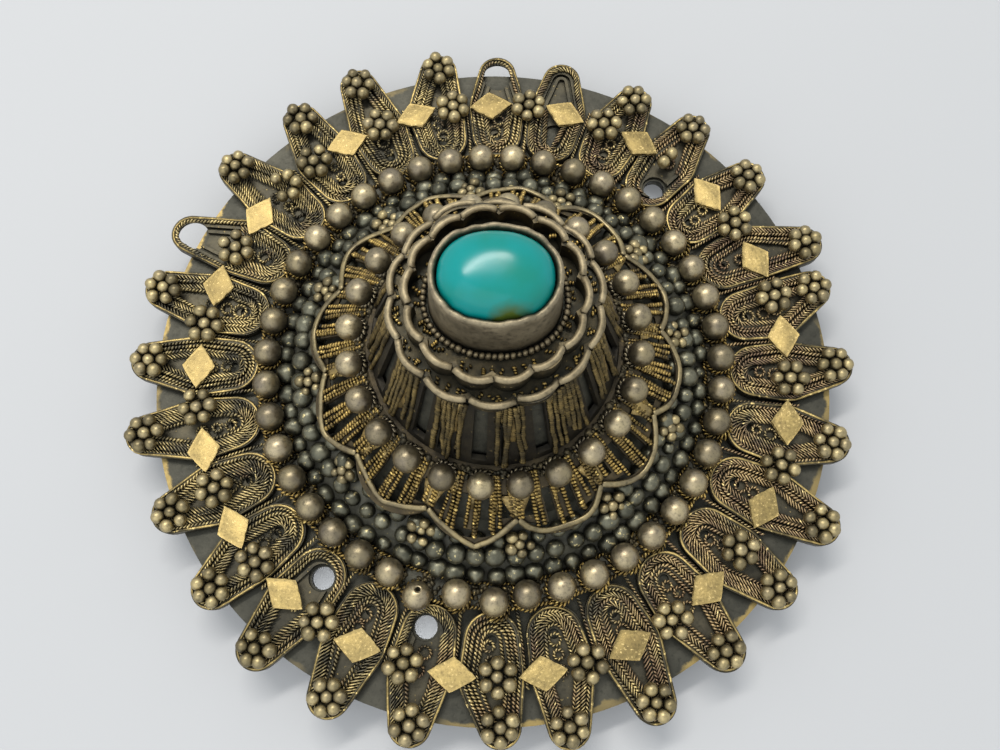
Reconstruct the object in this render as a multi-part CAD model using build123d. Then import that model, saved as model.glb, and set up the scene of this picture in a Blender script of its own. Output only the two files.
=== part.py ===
from build123d import *
import os
from math import atan2, cos, degrees, pi, radians, sin, sqrt

# A round domed brooch of silver-gilt filigree. A flat back plate carries a ring of leaf-shaped
# wire petals. Inside it a hollow dome steps up through a ring of beads, a scalloped openwork
# calyx and a steep tier of strands to a scalloped collar, where an oval stone sits in its bezel.
# Millimetres, +Z up, the feet of the back pin on Z = 0, the dome's axis on Z.

# Small space between two soldered pieces
SEAT_GAP = 0.05

# Back plate and the pin under it, whose feet stand apart by a share of the plate's width
PLATE_R = 29.6
PLATE_T = 0.8
FOOT_H = 3.0
FOOT_SPAN_SHARE = 0.575
FOOT_W = 3.6
FOOT_D = 8.0
FOOT_CORNER_R = 0.8
STEM_R = 0.55

# Petals: leaf-shaped loops of flat wire, widest at the waist, with a round tip past the plate
PETAL_COUNT = 28
PETAL_PHASE = 1.8
PETAL_BAND = 9.2
TIP_OUT = 0.3
TIP_SHARE = 0.261
PETAL_GAP = 0.34
ARCH_GAP = 0.5
ARCH_CLEAR = 0.15
PETAL_H = 0.9
PETAL_FLOOR = 0.3
FRAME_WIRE = 0.32
RIB_W = 0.28
RIB_GAP = 0.28
RIB_H = 0.62
SCROLL_HOLE_R = 0.42
SEWING_HOLE_R = 0.95
SEWING_HOLE_CLEAR = 0.2
# A row for each petal: turn off its even place in degrees, reach as a share of the tip ring
PETALS = (
    # drift, reach, tip
    (1.0, 0.994, "flower"),
    (2.2, 0.983, "flower"),
    (-2.5, 1.019, "flower"),
    (0.0, 0.994, "flower"),
    (0.4, 0.993, "flower"),
    (-0.6, 0.979, "flower"),
    (0.7, 0.980, "bare"),
    (0.0, 0.980, "bare"),
    (-2.0, 1.002, "flower"),
    (-0.2, 1.026, "flower"),
    (-1.0, 1.008, "flower"),
    (0.4, 1.019, "flower"),
    (1.6, 1.013, "bare"),
    (-0.4, 1.011, "flower"),
    (-0.6, 1.001, "flower"),
    (-1.0, 1.013, "flower"),
    (-0.1, 0.992, "flower"),
    (1.0, 0.993, "flower"),
    (0.0, 1.011, "flower"),
    (0.3, 1.008, "flower"),
    (0.5, 1.002, "flower"),
    (1.4, 0.982, "flower"),
    (-0.9, 1.003, "flower"),
    (-0.3, 1.018, "flower"),
    (0.2, 1.006, "flower"),
    (0.2, 0.999, "flower"),
    (-0.2, 1.019, "flower"),
    (0.5, 0.988, "flower"),
)
# Round holes near the arches: turn off the petal in degrees, reach as a share of the arches' ring
SEWING_HOLES = (
    # petal, turn, reach, through
    (4, -1.2, 1.01, "plate"),
    (18, 0.6, 0.999, "plate"),
    (20, -1.0, 0.985, "plate"),
    (6, -0.4, 1.035, "petal"),
)

# Flowers of seven granules at the petal tips and round the waist: a granule's radius as a share
# of the space that each flower has along its ring
TIP_GRAIN_SHARE = 0.0835
WAIST_GRAIN_SHARE = 0.1515
GRAIN_BITE = 0.04

# Lozenges round the waist, long side along the ring, half as a share of the space they have
WAIST_SHARE = 0.4
LOZENGE_SHARE = 0.526
LOZENGE_SLIM = 0.7
LOZENGE_EDGE = 0.28
LOZENGE_RISE = 0.3
LOZENGE_TOP_SHARE = 0.12
# A row for each lozenge: place on the ring and turn off the ring's direction, in degrees
LOZENGES = (
    # angle, turn
    (8.8, -3.0),
    (25.6, 8.0),
    (42.5, -6.0),
    (60.4, -2.0),
    (77.3, -11.0),
    (93.1, 6.0),
    (109.0, 9.0),
    (124.6, -9.0),
    (148.6, 8.0),
    (165.3, 10.0),
    (182.1, -1.0),
    (198.8, -6.0),
    (214.8, -6.0),
    (230.6, 3.0),
    (246.9, 12.0),
    (264.7, 0.0),
    (281.1, 0.0),
    (297.5, 6.0),
    (315.3, 1.0),
    (334.0, 0.0),
    (351.3, 7.0),
)
WIDE_GAP_SHARE = 1.3
# Waist flowers with granules broken off: which of the six, and whether the middle one too
BROKEN_FLOWERS = (
    # flower, lost, middle
    (2, (0, 3, 4, 5), "lost"),
    (8, (1,), "lost"),
)

# Ring of large beads, each on its own wire ring, on a ledge at the foot of the dome
BEAD_COUNT = 43
BEAD_PHASE = 3.8
BEAD_FILL = 0.83
BEAD_SEAT_SHARE = 0.68
BEAD_SEAT_WIRE = 0.3
SEAT_BITE = 0.08
LEDGE_H = 1.1
LEDGE_IN = 1.2
LEDGE_OUT = 0.95
# Beads knocked off their place: turn in degrees, move outwards as a share of the bead's radius
MOVED_BEADS = (
    # bead, turn, out, face
    (30, -0.4, 0.76, "drilled"),
    (32, 0.6, 0.36, "plain"),
)
BEAD_DRILL_R = 0.23
BEAD_DRILL_DEPTH = 0.6
BEAD_DRILL_TILT = -27.0

# Hollow dome under everything: its slope, its shoulder under the calyx, and its top
DOME_WALL = 0.5
DOME_H = 17.6
DOME_LIP = 0.25
SHOULDER_H = 8.0
SHOULDER_R = 10.2
SHOULDER_W = 0.9
# A row for each break of the slope between the ledge and the shoulder, outside first
SLOPE = (
    # share of the way in, share of the rise
    (0.23, 0.275),
    (0.58, 0.435),
    (0.93, 0.84),
)

# Calyx: a ring of openwork lobes with a flat-wire edge, over the slope
LOBE_COUNT = 12
NOTCH_PHASE = 10.0
LOBE_REACH = 0.658
NOTCH_DEPTH = 1.6
CALYX_EDGE_H = 4.0
CALYX_T = 0.5
CALYX_RIM_W = 0.4
CALYX_RIM_RISE = 0.2
CALYX_LAP = 0.15
SLOTS_PER_LOBE = 4
SLOT_START = 1.75
SLOT_END = 0.35
SLOT_SHARE = 0.42
COMB_GAP = 0.6
COMB_WEB = 0.35
CALYX_BEAD_COUNT = 24
CALYX_BEAD_PHASE = 12.0
CALYX_BEAD_R = 1.08
CALYX_SEAT_R = 0.7
CALYX_SEAT_WIRE = 0.22
CALYX_BEAD_OUT = 0.6

# Small clusters of granules below the notches of the calyx
NOTCH_GRAIN_R = 0.46
NOTCH_GRAIN_COUNT = 5
NOTCH_CLUSTER_OUT = 1.45

# Steep tier of strands between the calyx and the collar
TIER_LIFT = 0.1
TIER_T = 0.45
TIER_RING = 0.7
BUNDLE_COUNT = 12
STRANDS = 3
BUNDLE_GAP_DEG = 7.0
STRAND_GAP_DEG = 1.4

# Two scalloped collars round the setting
COLLAR_ARCS = 14
COLLAR_WALL = 0.42
COLLAR_FLOOR = 0.35
COLLAR_BULGE = 0.55
COLLAR_CLEAR = 0.31
COLLAR_STEP = 1.25
OUTER_COLLAR_H = 0.7
INNER_COLLAR_H = 2.15

# Oval setting: bezel, the wire round its foot, and the domed stone
STONE_HALF_LONG = 3.85
STONE_HALF_SHORT = 3.05
STONE_WALL_H = 3.9
STONE_DOME = 1.8
STONE_CLEAR = 0.05
BEZEL_T = 0.45
BEZEL_H = 4.9
BEZEL_FLARE = 0.3
BEZEL_FLOOR = 0.5
FOOT_WIRE_R = 0.26

# Heights that the pieces share
plate_top = FOOT_H + PLATE_T
petal_top = plate_top + PETAL_H
ledge_top = plate_top + LEDGE_H
shoulder_top = plate_top + SHOULDER_H
dome_top = plate_top + DOME_H

# Radii that the pieces share, from the edge inwards
ledge_out_r = PLATE_R - PETAL_BAND
bead_ring_r = ledge_out_r - LEDGE_OUT
bead_r = BEAD_FILL * pi * bead_ring_r / BEAD_COUNT
ledge_in_r = bead_ring_r - LEDGE_IN
tip_ring_r = PLATE_R + TIP_OUT
tip_space = 2 * pi * tip_ring_r / PETAL_COUNT
tip_r = TIP_SHARE * tip_space
half_pitch_sine = sin(pi / PETAL_COUNT)
arch_ring_r = (ledge_out_r + ARCH_CLEAR - ARCH_GAP / 2) / (1 - half_pitch_sine)
arch_r = arch_ring_r * half_pitch_sine - ARCH_GAP / 2
waist_ring_r = arch_ring_r + WAIST_SHARE * (tip_ring_r - arch_ring_r)
waist_r = waist_ring_r * half_pitch_sine - PETAL_GAP / 2
waist_space = pi * waist_ring_r / len(LOZENGES)
lobe_r = SHOULDER_R + LOBE_REACH * (ledge_in_r - SHOULDER_R)
notch_r = lobe_r - NOTCH_DEPTH

# Radii that the pieces share, from the stone outwards
bezel_out = STONE_CLEAR + BEZEL_T + BEZEL_FLARE
foot_wire_out = bezel_out + SEAT_GAP + FOOT_WIRE_R
inner_collar_r = STONE_HALF_LONG + foot_wire_out + FOOT_WIRE_R + COLLAR_CLEAR + COLLAR_WALL + COLLAR_BULGE
outer_collar_r = inner_collar_r + COLLAR_STEP
dome_top_r = inner_collar_r + DOME_LIP


def polar(radius, angle):
    """Point at a radius and an angle in degrees."""
    return Vector(radius * cos(radians(angle)), radius * sin(radians(angle)), 0)


def on_ring(shape, radius, angle, height, tilt=0.0):
    """Carry a shape from the origin to a place on a ring, leaned outwards by tilt degrees."""
    return Rot(0, 0, angle) * Pos(radius, 0, height) * Rot(0, tilt, 0) * shape


def slab(face, low, high):
    """Prism over a flat face, between two heights."""
    return Pos(0, 0, low) * extrude(face, amount=high - low)


def turned(points):
    """Solid of revolution about Z from (radius, height) points."""
    outline = Polyline(*[(r, 0, h) for r, h in points], close=True)
    return revolve(make_face(outline), Axis.Z)


def leaf_face(circles, inset=0.0):
    """Leaf outline round three circles in a row, (centre, radius) from arch to tip, set in."""
    centres = [centre for centre, _ in circles]
    radii = [radius - inset for _, radius in circles]
    sides = []
    for side in (1, -1):
        touches = []
        for i in (0, 1):
            along = (centres[i + 1] - centres[i]).normalized()
            across = Vector(-along.Y, along.X, 0) * side
            lean = (radii[i] - radii[i + 1]) / (centres[i + 1] - centres[i]).length
            normal = along * lean + across * sqrt(1 - lean * lean)
            touches.append((normal, centres[i] + normal * radii[i], centres[i + 1] + normal * radii[i + 1]))
        (normal_a, start, end), (normal_b, next_start, tip) = touches
        middle = centres[1] + (normal_a + normal_b).normalized() * radii[1]
        sides.append((start, end, middle, next_start, tip))
    left, right = sides
    back = centres[0] - (centres[1] - centres[0]).normalized() * radii[0]
    front = centres[2] + (centres[2] - centres[1]).normalized() * radii[2]
    edges = [ThreePointArc(left[0], back, right[0])]
    edges += [Line(right[0], right[1]), ThreePointArc(right[1], right[2], right[3]), Line(right[3], right[4])]
    edges += [ThreePointArc(right[4], front, left[4])]
    edges += [Line(left[4], left[3]), ThreePointArc(left[3], left[2], left[1]), Line(left[1], left[0])]
    return Face(Wire(edges))


def scallop_face(count, tip_r, notch, phase):
    """Flat face edged by arcs that bulge to tip_r and meet at the notch radius, from a phase."""
    pitch = 360 / count
    edges = []
    for k in range(count):
        angle = phase + k * pitch
        start, middle, end = polar(notch, angle), polar(tip_r, angle + pitch / 2), polar(notch, angle + pitch)
        edges.append(ThreePointArc(start, middle, end))
    return Face(Wire(edges))


def scallop_radius(tip_r, notch, count, off_tip):
    """Radius of a scalloped edge at an angle in degrees from the middle of a lobe."""
    half = radians(180 / count)
    chord, rise = notch * sin(half), tip_r - notch * cos(half)
    bow = (chord * chord + rise * rise) / (2 * rise)
    centre = tip_r - bow
    turn = radians(off_tip)
    return centre * cos(turn) + sqrt(bow * bow - (centre * sin(turn)) ** 2)


def flower(grain_r, count, lost=(), middle="kept"):
    """A ring of granules soldered to a middle one, centres on Z = 0, less what broke off."""
    grain = Pos(2 * grain_r - GRAIN_BITE, 0, 0) * Sphere(grain_r)
    pitch = 360 / count
    grains = [Rot(0, 0, k * pitch) * grain for k in range(count) if k not in lost]
    if middle == "kept":
        grains.append(Rot(0, 0, pitch / 2) * Sphere(grain_r))
    return grains[0] + grains[1:]


def seated_bead(bead_r, seat_r, wire):
    """Bead on its ring of wire, the ring's underside on Z = 0."""
    rise = sqrt((bead_r + wire - SEAT_BITE) ** 2 - seat_r ** 2)
    return Pos(0, 0, wire) * Torus(seat_r, wire) + Pos(0, 0, wire + rise) * Sphere(bead_r)


def petal_circles(k):
    """The three circles that a petal is bent round: arch, waist and tip."""
    drift, reach, _ = PETALS[k % len(PETALS)]
    even = PETAL_PHASE + k * 360 / PETAL_COUNT
    return (
        (polar(arch_ring_r, even), arch_r),
        (polar(waist_ring_r, even), waist_r),
        (polar(tip_ring_r * reach, even + drift), tip_r),
    )


def sewing_holes():
    """Petal index, centre and depth of each round hole near the arches."""
    for k, turn, reach, through in SEWING_HOLES:
        yield k, polar(arch_ring_r * reach, PETAL_PHASE + k * 360 / PETAL_COUNT + turn), through


def place_drill(centre, radius):
    """Round drill through plate and petals."""
    return Pos(centre.X, centre.Y, plate_top) * Cylinder(radius, 3 * PETAL_H)


def petal(k):
    """Flat-wire frame round a sunk floor with two raised loops of wire, pierced at arch and tip."""
    circles = petal_circles(k)
    floor_top = plate_top + PETAL_FLOOR
    body = slab(leaf_face(circles), plate_top, petal_top)
    body -= slab(leaf_face(circles, FRAME_WIRE), floor_top, petal_top)
    inset = FRAME_WIRE + RIB_GAP
    while inset + RIB_W < min(radius for _, radius in circles):
        loop = slab(leaf_face(circles, inset), plate_top, plate_top + RIB_H)
        body += loop - slab(leaf_face(circles, inset + RIB_W), plate_top, plate_top + RIB_H)
        inset += RIB_W + RIB_GAP
    sewn = [place for petal_index, place, _ in sewing_holes() if petal_index == k]
    if sewn:
        return body - place_drill(sewn[0], SEWING_HOLE_R + SEWING_HOLE_CLEAR)
    arch, _, tip = [centre for centre, _ in circles]
    body -= place_drill(arch, SCROLL_HOLE_R)
    if PETALS[k % len(PETALS)][2] == "bare":
        body -= place_drill(tip, tip_r - FRAME_WIRE)
    return body


def tip_clusters():
    """A flower of granules in the tip loop of each petal that kept it."""
    grain_r = TIP_GRAIN_SHARE * tip_space
    grain = flower(grain_r, 6)
    height = petal_top + grain_r
    places = []
    for k in range(PETAL_COUNT):
        drift, reach, tip = PETALS[k % len(PETALS)]
        if tip == "flower":
            angle = PETAL_PHASE + k * 360 / PETAL_COUNT + drift
            places.append(on_ring(grain, tip_ring_r * reach, angle, height))
    return places


def waist_clusters():
    """Flowers midway between the lozenges, two where one lozenge is missing."""
    grain_r = WAIST_GRAIN_SHARE * waist_space
    whole = flower(grain_r, 6)
    broken = {row[0]: flower(grain_r, 6, *row[1:]) for row in BROKEN_FLOWERS}
    even_gap = 360 / len(LOZENGES)
    height = petal_top + SEAT_GAP + grain_r
    places = []
    for i, (angle, _) in enumerate(LOZENGES):
        gap = (LOZENGES[(i + 1) % len(LOZENGES)][0] - angle) % 360
        count = 2 if gap > WIDE_GAP_SHARE * even_gap else 1
        for j in range(count):
            grain = broken.get(len(places), whole)
            places.append(on_ring(grain, waist_ring_r, angle + gap * (j + 1) / (count + 1), height))
    return places


def lozenges():
    """Lozenge plates with a low four-sided rise, on the petals' frames."""
    corners = ((0, -1), (1, 0), (0, 1), (-1, 0))
    half_long = LOZENGE_SHARE * waist_space
    half_short = LOZENGE_SLIM * half_long

    def outline(share, height):
        points = [(x * share * half_short, y * share * half_long, height) for x, y in corners]
        return make_face(Polyline(*points, close=True))

    plate = extrude(outline(1, 0), amount=LOZENGE_EDGE)
    rise = loft([outline(1, LOZENGE_EDGE), outline(LOZENGE_TOP_SHARE, LOZENGE_EDGE + LOZENGE_RISE)])
    gem = plate + rise
    base = petal_top + SEAT_GAP
    return [on_ring(Rot(0, 0, turn) * gem, waist_ring_r, angle, base) for angle, turn in LOZENGES]


def outer_beads():
    """Large beads on their rings, two of them knocked out of line and one of those drilled."""
    seat_r = BEAD_SEAT_SHARE * bead_r
    bead = seated_bead(bead_r, seat_r, BEAD_SEAT_WIRE)
    centre_h = BEAD_SEAT_WIRE + sqrt((bead_r + BEAD_SEAT_WIRE - SEAT_BITE) ** 2 - seat_r ** 2)
    drill = Rot(0, BEAD_DRILL_TILT, 0) * Pos(0, 0, bead_r) * Cylinder(BEAD_DRILL_R, 2 * BEAD_DRILL_DEPTH)
    drilled = bead - Pos(0, 0, centre_h) * drill
    moved = {k: (turn, out * bead_r, face) for k, turn, out, face in MOVED_BEADS}
    places = []
    for k in range(BEAD_COUNT):
        turn, out, face = moved.get(k, (0.0, 0.0, "plain"))
        angle = BEAD_PHASE + k * 360 / BEAD_COUNT + turn
        shape = drilled if face == "drilled" else bead
        places.append(on_ring(shape, bead_ring_r + out, angle, ledge_top + SEAT_GAP))
    return places


def slope_points():
    """Outside of the dome from the ledge up to the shoulder, as (radius, height) points."""
    run, rise = ledge_in_r - SHOULDER_R, shoulder_top - ledge_top
    points = [(ledge_in_r, ledge_top)]
    points += [(ledge_in_r - inward * run, ledge_top + up * rise) for inward, up in SLOPE]
    return points + [(SHOULDER_R, shoulder_top)]


def slope_at(radius):
    """Height and fall in degrees of the dome's slope at a radius."""
    points = slope_points()
    for (r0, h0), (r1, h1) in zip(points, points[1:]):
        if r1 <= radius <= r0:
            return h0 + (h1 - h0) * (r0 - radius) / (r0 - r1), degrees(atan2(h1 - h0, r0 - r1))
    return points[0][1], 0.0


def dome():
    """Hollow stepped dome of sheet, open below, from the bead ledge to the flat top."""
    outside = [(ledge_out_r, plate_top), (ledge_out_r, ledge_top)] + slope_points()
    outside += [(SHOULDER_R - SHOULDER_W, shoulder_top), (dome_top_r, dome_top), (0, dome_top)]
    inside = [(0, dome_top - DOME_WALL), (dome_top_r - DOME_WALL, dome_top - DOME_WALL)]
    inside += [(SHOULDER_R - SHOULDER_W - DOME_WALL, shoulder_top - DOME_WALL)]
    inside += [(SHOULDER_R - DOME_WALL, shoulder_top - DOME_WALL)]
    inside += [(r - DOME_WALL, h - DOME_WALL) for r, h in reversed(slope_points()[:-1])]
    inside += [(ledge_in_r - DOME_WALL, plate_top)]
    return turned(outside + inside)


def calyx_line(radius):
    """Height of the calyx's upper face at a radius outside the shoulder."""
    top = shoulder_top + SEAT_GAP + CALYX_T
    edge = plate_top + CALYX_EDGE_H + CALYX_T
    return top + (edge - top) * (radius - SHOULDER_R) / (lobe_r - SHOULDER_R)


def calyx_shell(rise):
    """Flat collar on the shoulder, then a cone down to the lobes' reach, raised by rise."""
    inner_r = SHOULDER_R - SHOULDER_W + CALYX_LAP
    base = shoulder_top + SEAT_GAP
    far_r = lobe_r + CALYX_T
    upper = [(inner_r, base + CALYX_T + rise), (SHOULDER_R, base + CALYX_T + rise)]
    upper += [(far_r, calyx_line(far_r) + rise)]
    lower = [(far_r, calyx_line(far_r) - CALYX_T), (SHOULDER_R, base), (inner_r, base)]
    return turned(upper + lower)


def calyx():
    """Scalloped openwork ring: in each lobe a comb, free at its end, inside a raised flat wire."""
    base, top = plate_top, shoulder_top + CALYX_T + 1
    lobes = scallop_face(LOBE_COUNT, lobe_r, notch_r, NOTCH_PHASE)
    inner_tip, inner_notch = lobe_r - CALYX_RIM_W, notch_r - CALYX_RIM_W
    inner = scallop_face(LOBE_COUNT, inner_tip, inner_notch, NOTCH_PHASE)
    body = calyx_shell(0) & slab(lobes, base, top)
    rim = calyx_shell(CALYX_RIM_RISE) & (slab(lobes, base, top) - slab(inner, base, top))
    pitch = 360 / LOBE_COUNT / SLOTS_PER_LOBE
    start_r = SHOULDER_R + SLOT_START
    cuts = []
    for lobe in range(LOBE_COUNT):
        middle = NOTCH_PHASE + (lobe + 0.5) * 360 / LOBE_COUNT
        for s in range(SLOTS_PER_LOBE):
            off = (s - (SLOTS_PER_LOBE - 1) / 2) * pitch
            half = SLOT_SHARE * pitch / 2
            far_off = abs(off) + half
            end_r = scallop_radius(inner_tip, inner_notch, LOBE_COUNT, far_off) - SLOT_END
            corners = [polar(start_r, middle + off - half), polar(end_r, middle + off - half)]
            corners += [polar(end_r, middle + off + half), polar(start_r, middle + off + half)]
            cuts.append(slab(make_face(Polyline(*corners, close=True)), base, top))
    comb_edge = scallop_face(LOBE_COUNT, inner_tip - COMB_GAP, inner_notch + COMB_WEB, NOTCH_PHASE)
    cuts.append(slab(inner, base, top) - slab(comb_edge, base, top))
    return body + rim - cuts


def calyx_beads():
    """Smaller beads on the upper part of the calyx, one on each notch and each lobe."""
    bead = seated_bead(CALYX_BEAD_R, CALYX_SEAT_R, CALYX_SEAT_WIRE)
    radius = SHOULDER_R + CALYX_BEAD_OUT
    fall = degrees(atan2(calyx_line(SHOULDER_R) - calyx_line(lobe_r), lobe_r - SHOULDER_R))
    lift = SEAT_GAP / cos(radians(fall))
    step = 360 / CALYX_BEAD_COUNT
    return [
        on_ring(bead, radius, CALYX_BEAD_PHASE + k * step, calyx_line(radius) + lift, fall)
        for k in range(CALYX_BEAD_COUNT)
    ]


def notch_clusters():
    """Granules in a rosette on the slope below each notch of the calyx."""
    radius = notch_r + NOTCH_CLUSTER_OUT
    height, fall = slope_at(radius)
    grains = Pos(0, 0, NOTCH_GRAIN_R + SEAT_GAP) * flower(NOTCH_GRAIN_R, NOTCH_GRAIN_COUNT)
    step = 360 / LOBE_COUNT
    return [on_ring(grains, radius, NOTCH_PHASE + k * step, height, fall) for k in range(LOBE_COUNT)]


def upper_tier():
    """Steep cone slit into bundles of strands between a foot ring and a top ring."""
    foot = shoulder_top + CALYX_T + 2 * SEAT_GAP
    foot_r = SHOULDER_R - SHOULDER_W + TIER_LIFT
    top_r = dome_top_r + TIER_LIFT
    shell = turned([(foot_r + TIER_T, foot), (top_r + TIER_T, dome_top), (top_r, dome_top), (foot_r, foot)])
    bundle = 360 / BUNDLE_COUNT
    strand = (bundle - BUNDLE_GAP_DEG - (STRANDS - 1) * STRAND_GAP_DEG) / STRANDS
    cuts = []
    for b in range(BUNDLE_COUNT):
        middle = NOTCH_PHASE + b * bundle
        low = middle + (bundle - BUNDLE_GAP_DEG) / 2
        slits = [(low, low + BUNDLE_GAP_DEG)]
        for s in range(STRANDS - 1):
            start = middle - (bundle - BUNDLE_GAP_DEG) / 2 + (s + 1) * strand + s * STRAND_GAP_DEG
            slits.append((start, start + STRAND_GAP_DEG))
        for start, end in slits:
            near, far = top_r - TIER_T, foot_r + 2 * TIER_T
            corners = [polar(near, start), polar(far, start), polar(far, end), polar(near, end)]
            wedge = make_face(Polyline(*corners, close=True))
            cuts.append(slab(wedge, foot + TIER_RING, dome_top - TIER_RING))
    return shell - cuts


def collar(radius, height, base, phase):
    """Scalloped wall standing on its own floor ring."""
    notch = radius - COLLAR_BULGE
    outer = scallop_face(COLLAR_ARCS, radius, notch, phase)
    inner = scallop_face(COLLAR_ARCS, radius - COLLAR_WALL, notch - COLLAR_WALL, phase)
    body = slab(outer, base, base + height) - slab(inner, base + COLLAR_FLOOR, base + height)
    return body


def oval(half_long, half_short, height):
    """Oval face at a height, long along X."""
    return Pos(0, 0, height) * Ellipse(half_long, half_short)


def bezel():
    """Flared oval cup that holds the stone, with a floor."""
    base = dome_top + 2 * COLLAR_FLOOR + 3 * SEAT_GAP
    top_long = STONE_HALF_LONG + STONE_CLEAR + BEZEL_T
    top_short = STONE_HALF_SHORT + STONE_CLEAR + BEZEL_T
    cup = loft([
        oval(top_long + BEZEL_FLARE, top_short + BEZEL_FLARE, base),
        oval(top_long, top_short, base + BEZEL_H),
    ])
    pocket = oval(STONE_HALF_LONG + STONE_CLEAR, STONE_HALF_SHORT + STONE_CLEAR, base + BEZEL_FLOOR)
    return cup - extrude(pocket, amount=BEZEL_H)


def foot_wire():
    """Oval ring of wire lying round the foot of the bezel."""
    base = dome_top + 2 * COLLAR_FLOOR + 3 * SEAT_GAP
    half_long, half_short = STONE_HALF_LONG + foot_wire_out, STONE_HALF_SHORT + foot_wire_out
    path = Edge.make_ellipse(half_long, half_short, Plane.XY.offset(base + FOOT_WIRE_R))
    start = Plane(origin=path @ 0, z_dir=path % 0)
    return sweep(start * Circle(FOOT_WIRE_R), path=path)


def stone():
    """Oval cabochon: a straight girdle under a low dome."""
    base = dome_top + 2 * COLLAR_FLOOR + 3 * SEAT_GAP + BEZEL_FLOOR + STONE_CLEAR
    girdle = extrude(oval(STONE_HALF_LONG, STONE_HALF_SHORT, base), amount=STONE_WALL_H)
    ball = scale(Sphere(1), by=(STONE_HALF_LONG, STONE_HALF_SHORT, STONE_DOME))
    half = Pos(0, 0, base + STONE_WALL_H) * split(ball, bisect_by=Plane.XY, keep=Keep.TOP)
    return girdle + half


def back_plate():
    """Flat round plate with the sewing holes."""
    plate = Pos(0, 0, FOOT_H + PLATE_T / 2) * Cylinder(PLATE_R, PLATE_T)
    through = [place for _, place, depth in sewing_holes() if depth == "plate"]
    return plate - [place_drill(place, SEWING_HOLE_R) for place in through]


def back_pin():
    """Hinge foot, catch foot and straight stem in one piece, flat feet on Z = 0."""
    foot = extrude(RectangleRounded(FOOT_W, FOOT_D, FOOT_CORNER_R), amount=FOOT_H - SEAT_GAP)
    span = FOOT_SPAN_SHARE * 2 * PLATE_R
    stem = Pos(0, 0, FOOT_H / 2) * Rot(0, 90, 0) * Cylinder(STEM_R, span)
    return Pos(-span / 2, 0, 0) * foot + Pos(span / 2, 0, 0) * foot + stem


def write(name, shape):
    """Write one node, whose solids may be one or several loose ones."""
    solids = []
    for item in shape if isinstance(shape, list) else [shape]:
        solids += item.solids()
    export_step(Compound(solids) if len(solids) > 1 else solids[0], f"parts/{name}.step")


def main():
    os.makedirs("parts", exist_ok=True)
    write("back_plate", back_plate())
    write("back_pin", back_pin())
    for k in range(PETAL_COUNT):
        write(f"petal_{k + 1:02d}", petal(k))
    write("tip_clusters", tip_clusters())
    write("waist_clusters", waist_clusters())
    write("waist_lozenges", lozenges())
    write("dome", dome())
    write("outer_beads", outer_beads())
    write("calyx", calyx())
    write("calyx_beads", calyx_beads())
    write("notch_clusters", notch_clusters())
    write("upper_tier", upper_tier())
    outer_base = dome_top + SEAT_GAP
    inner_base = outer_base + COLLAR_FLOOR + SEAT_GAP
    write("collar_outer", collar(outer_collar_r, OUTER_COLLAR_H, outer_base, 0))
    write("collar_inner", collar(inner_collar_r, INNER_COLLAR_H, inner_base, 180 / COLLAR_ARCS))
    write("bezel", bezel())
    write("bezel_wire", foot_wire())
    write("stone", stone())


main()
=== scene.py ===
from math import cos, hypot, pi, radians, sin, sqrt, tau

import bpy
import numpy as np
from mathutils import Matrix, Vector


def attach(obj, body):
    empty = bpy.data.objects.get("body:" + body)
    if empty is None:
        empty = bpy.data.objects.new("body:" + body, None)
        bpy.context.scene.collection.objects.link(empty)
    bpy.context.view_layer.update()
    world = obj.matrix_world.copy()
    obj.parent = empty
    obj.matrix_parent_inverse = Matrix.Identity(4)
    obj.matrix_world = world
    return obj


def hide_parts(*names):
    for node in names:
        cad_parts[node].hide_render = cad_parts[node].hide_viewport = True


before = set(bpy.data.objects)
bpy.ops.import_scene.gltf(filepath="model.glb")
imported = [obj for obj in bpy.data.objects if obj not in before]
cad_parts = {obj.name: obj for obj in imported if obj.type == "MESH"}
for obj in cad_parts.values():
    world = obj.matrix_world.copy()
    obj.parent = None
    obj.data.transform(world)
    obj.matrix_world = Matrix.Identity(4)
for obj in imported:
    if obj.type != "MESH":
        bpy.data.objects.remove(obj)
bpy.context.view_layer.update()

# Lengths below are millimetres in the part's own frame, and angles are degrees from +X.
# They turn to metres when a mesh is made.
MM = 0.001
scene = bpy.context.scene

# Sizes that the solids were built from
PETAL_TOP = 4.7
LEDGE_TOP = 4.9
CALYX_EDGE_Z = 7.8
SHOULDER_TOP = 11.8
DOME_TOP = 21.4
JOINT_GAP = 0.05
PETAL_COUNT = 28
PETAL_PHASE = 1.8
TIP_RING_R, TIP_R = 29.9, 1.751
ARCH_RING_R, ARCH_R = 22.859, 2.309
WAIST_RING_R, WAIST_R = 25.676, 2.705
PETALS = (
    # drift in degrees, reach as a share of the tip ring
    (1.0, 0.994), (2.2, 0.983), (-2.5, 1.019), (0.0, 0.994), (0.4, 0.993), (-0.6, 0.979),
    (0.7, 0.98), (0.0, 0.98), (-2.0, 1.002), (-0.2, 1.026), (-1.0, 1.008), (0.4, 1.019),
    (1.6, 1.013), (-0.4, 1.011), (-0.6, 1.001), (-1.0, 1.013), (-0.1, 0.992), (1.0, 0.993),
    (0.0, 1.011), (0.3, 1.008), (0.5, 1.002), (1.4, 0.982), (-0.9, 1.003), (-0.3, 1.018),
    (0.2, 1.006), (0.2, 0.999), (-0.2, 1.019), (0.5, 0.988),
)
# Petals that have lost their flower
BARE_PETALS = (6, 7, 12)
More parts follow.
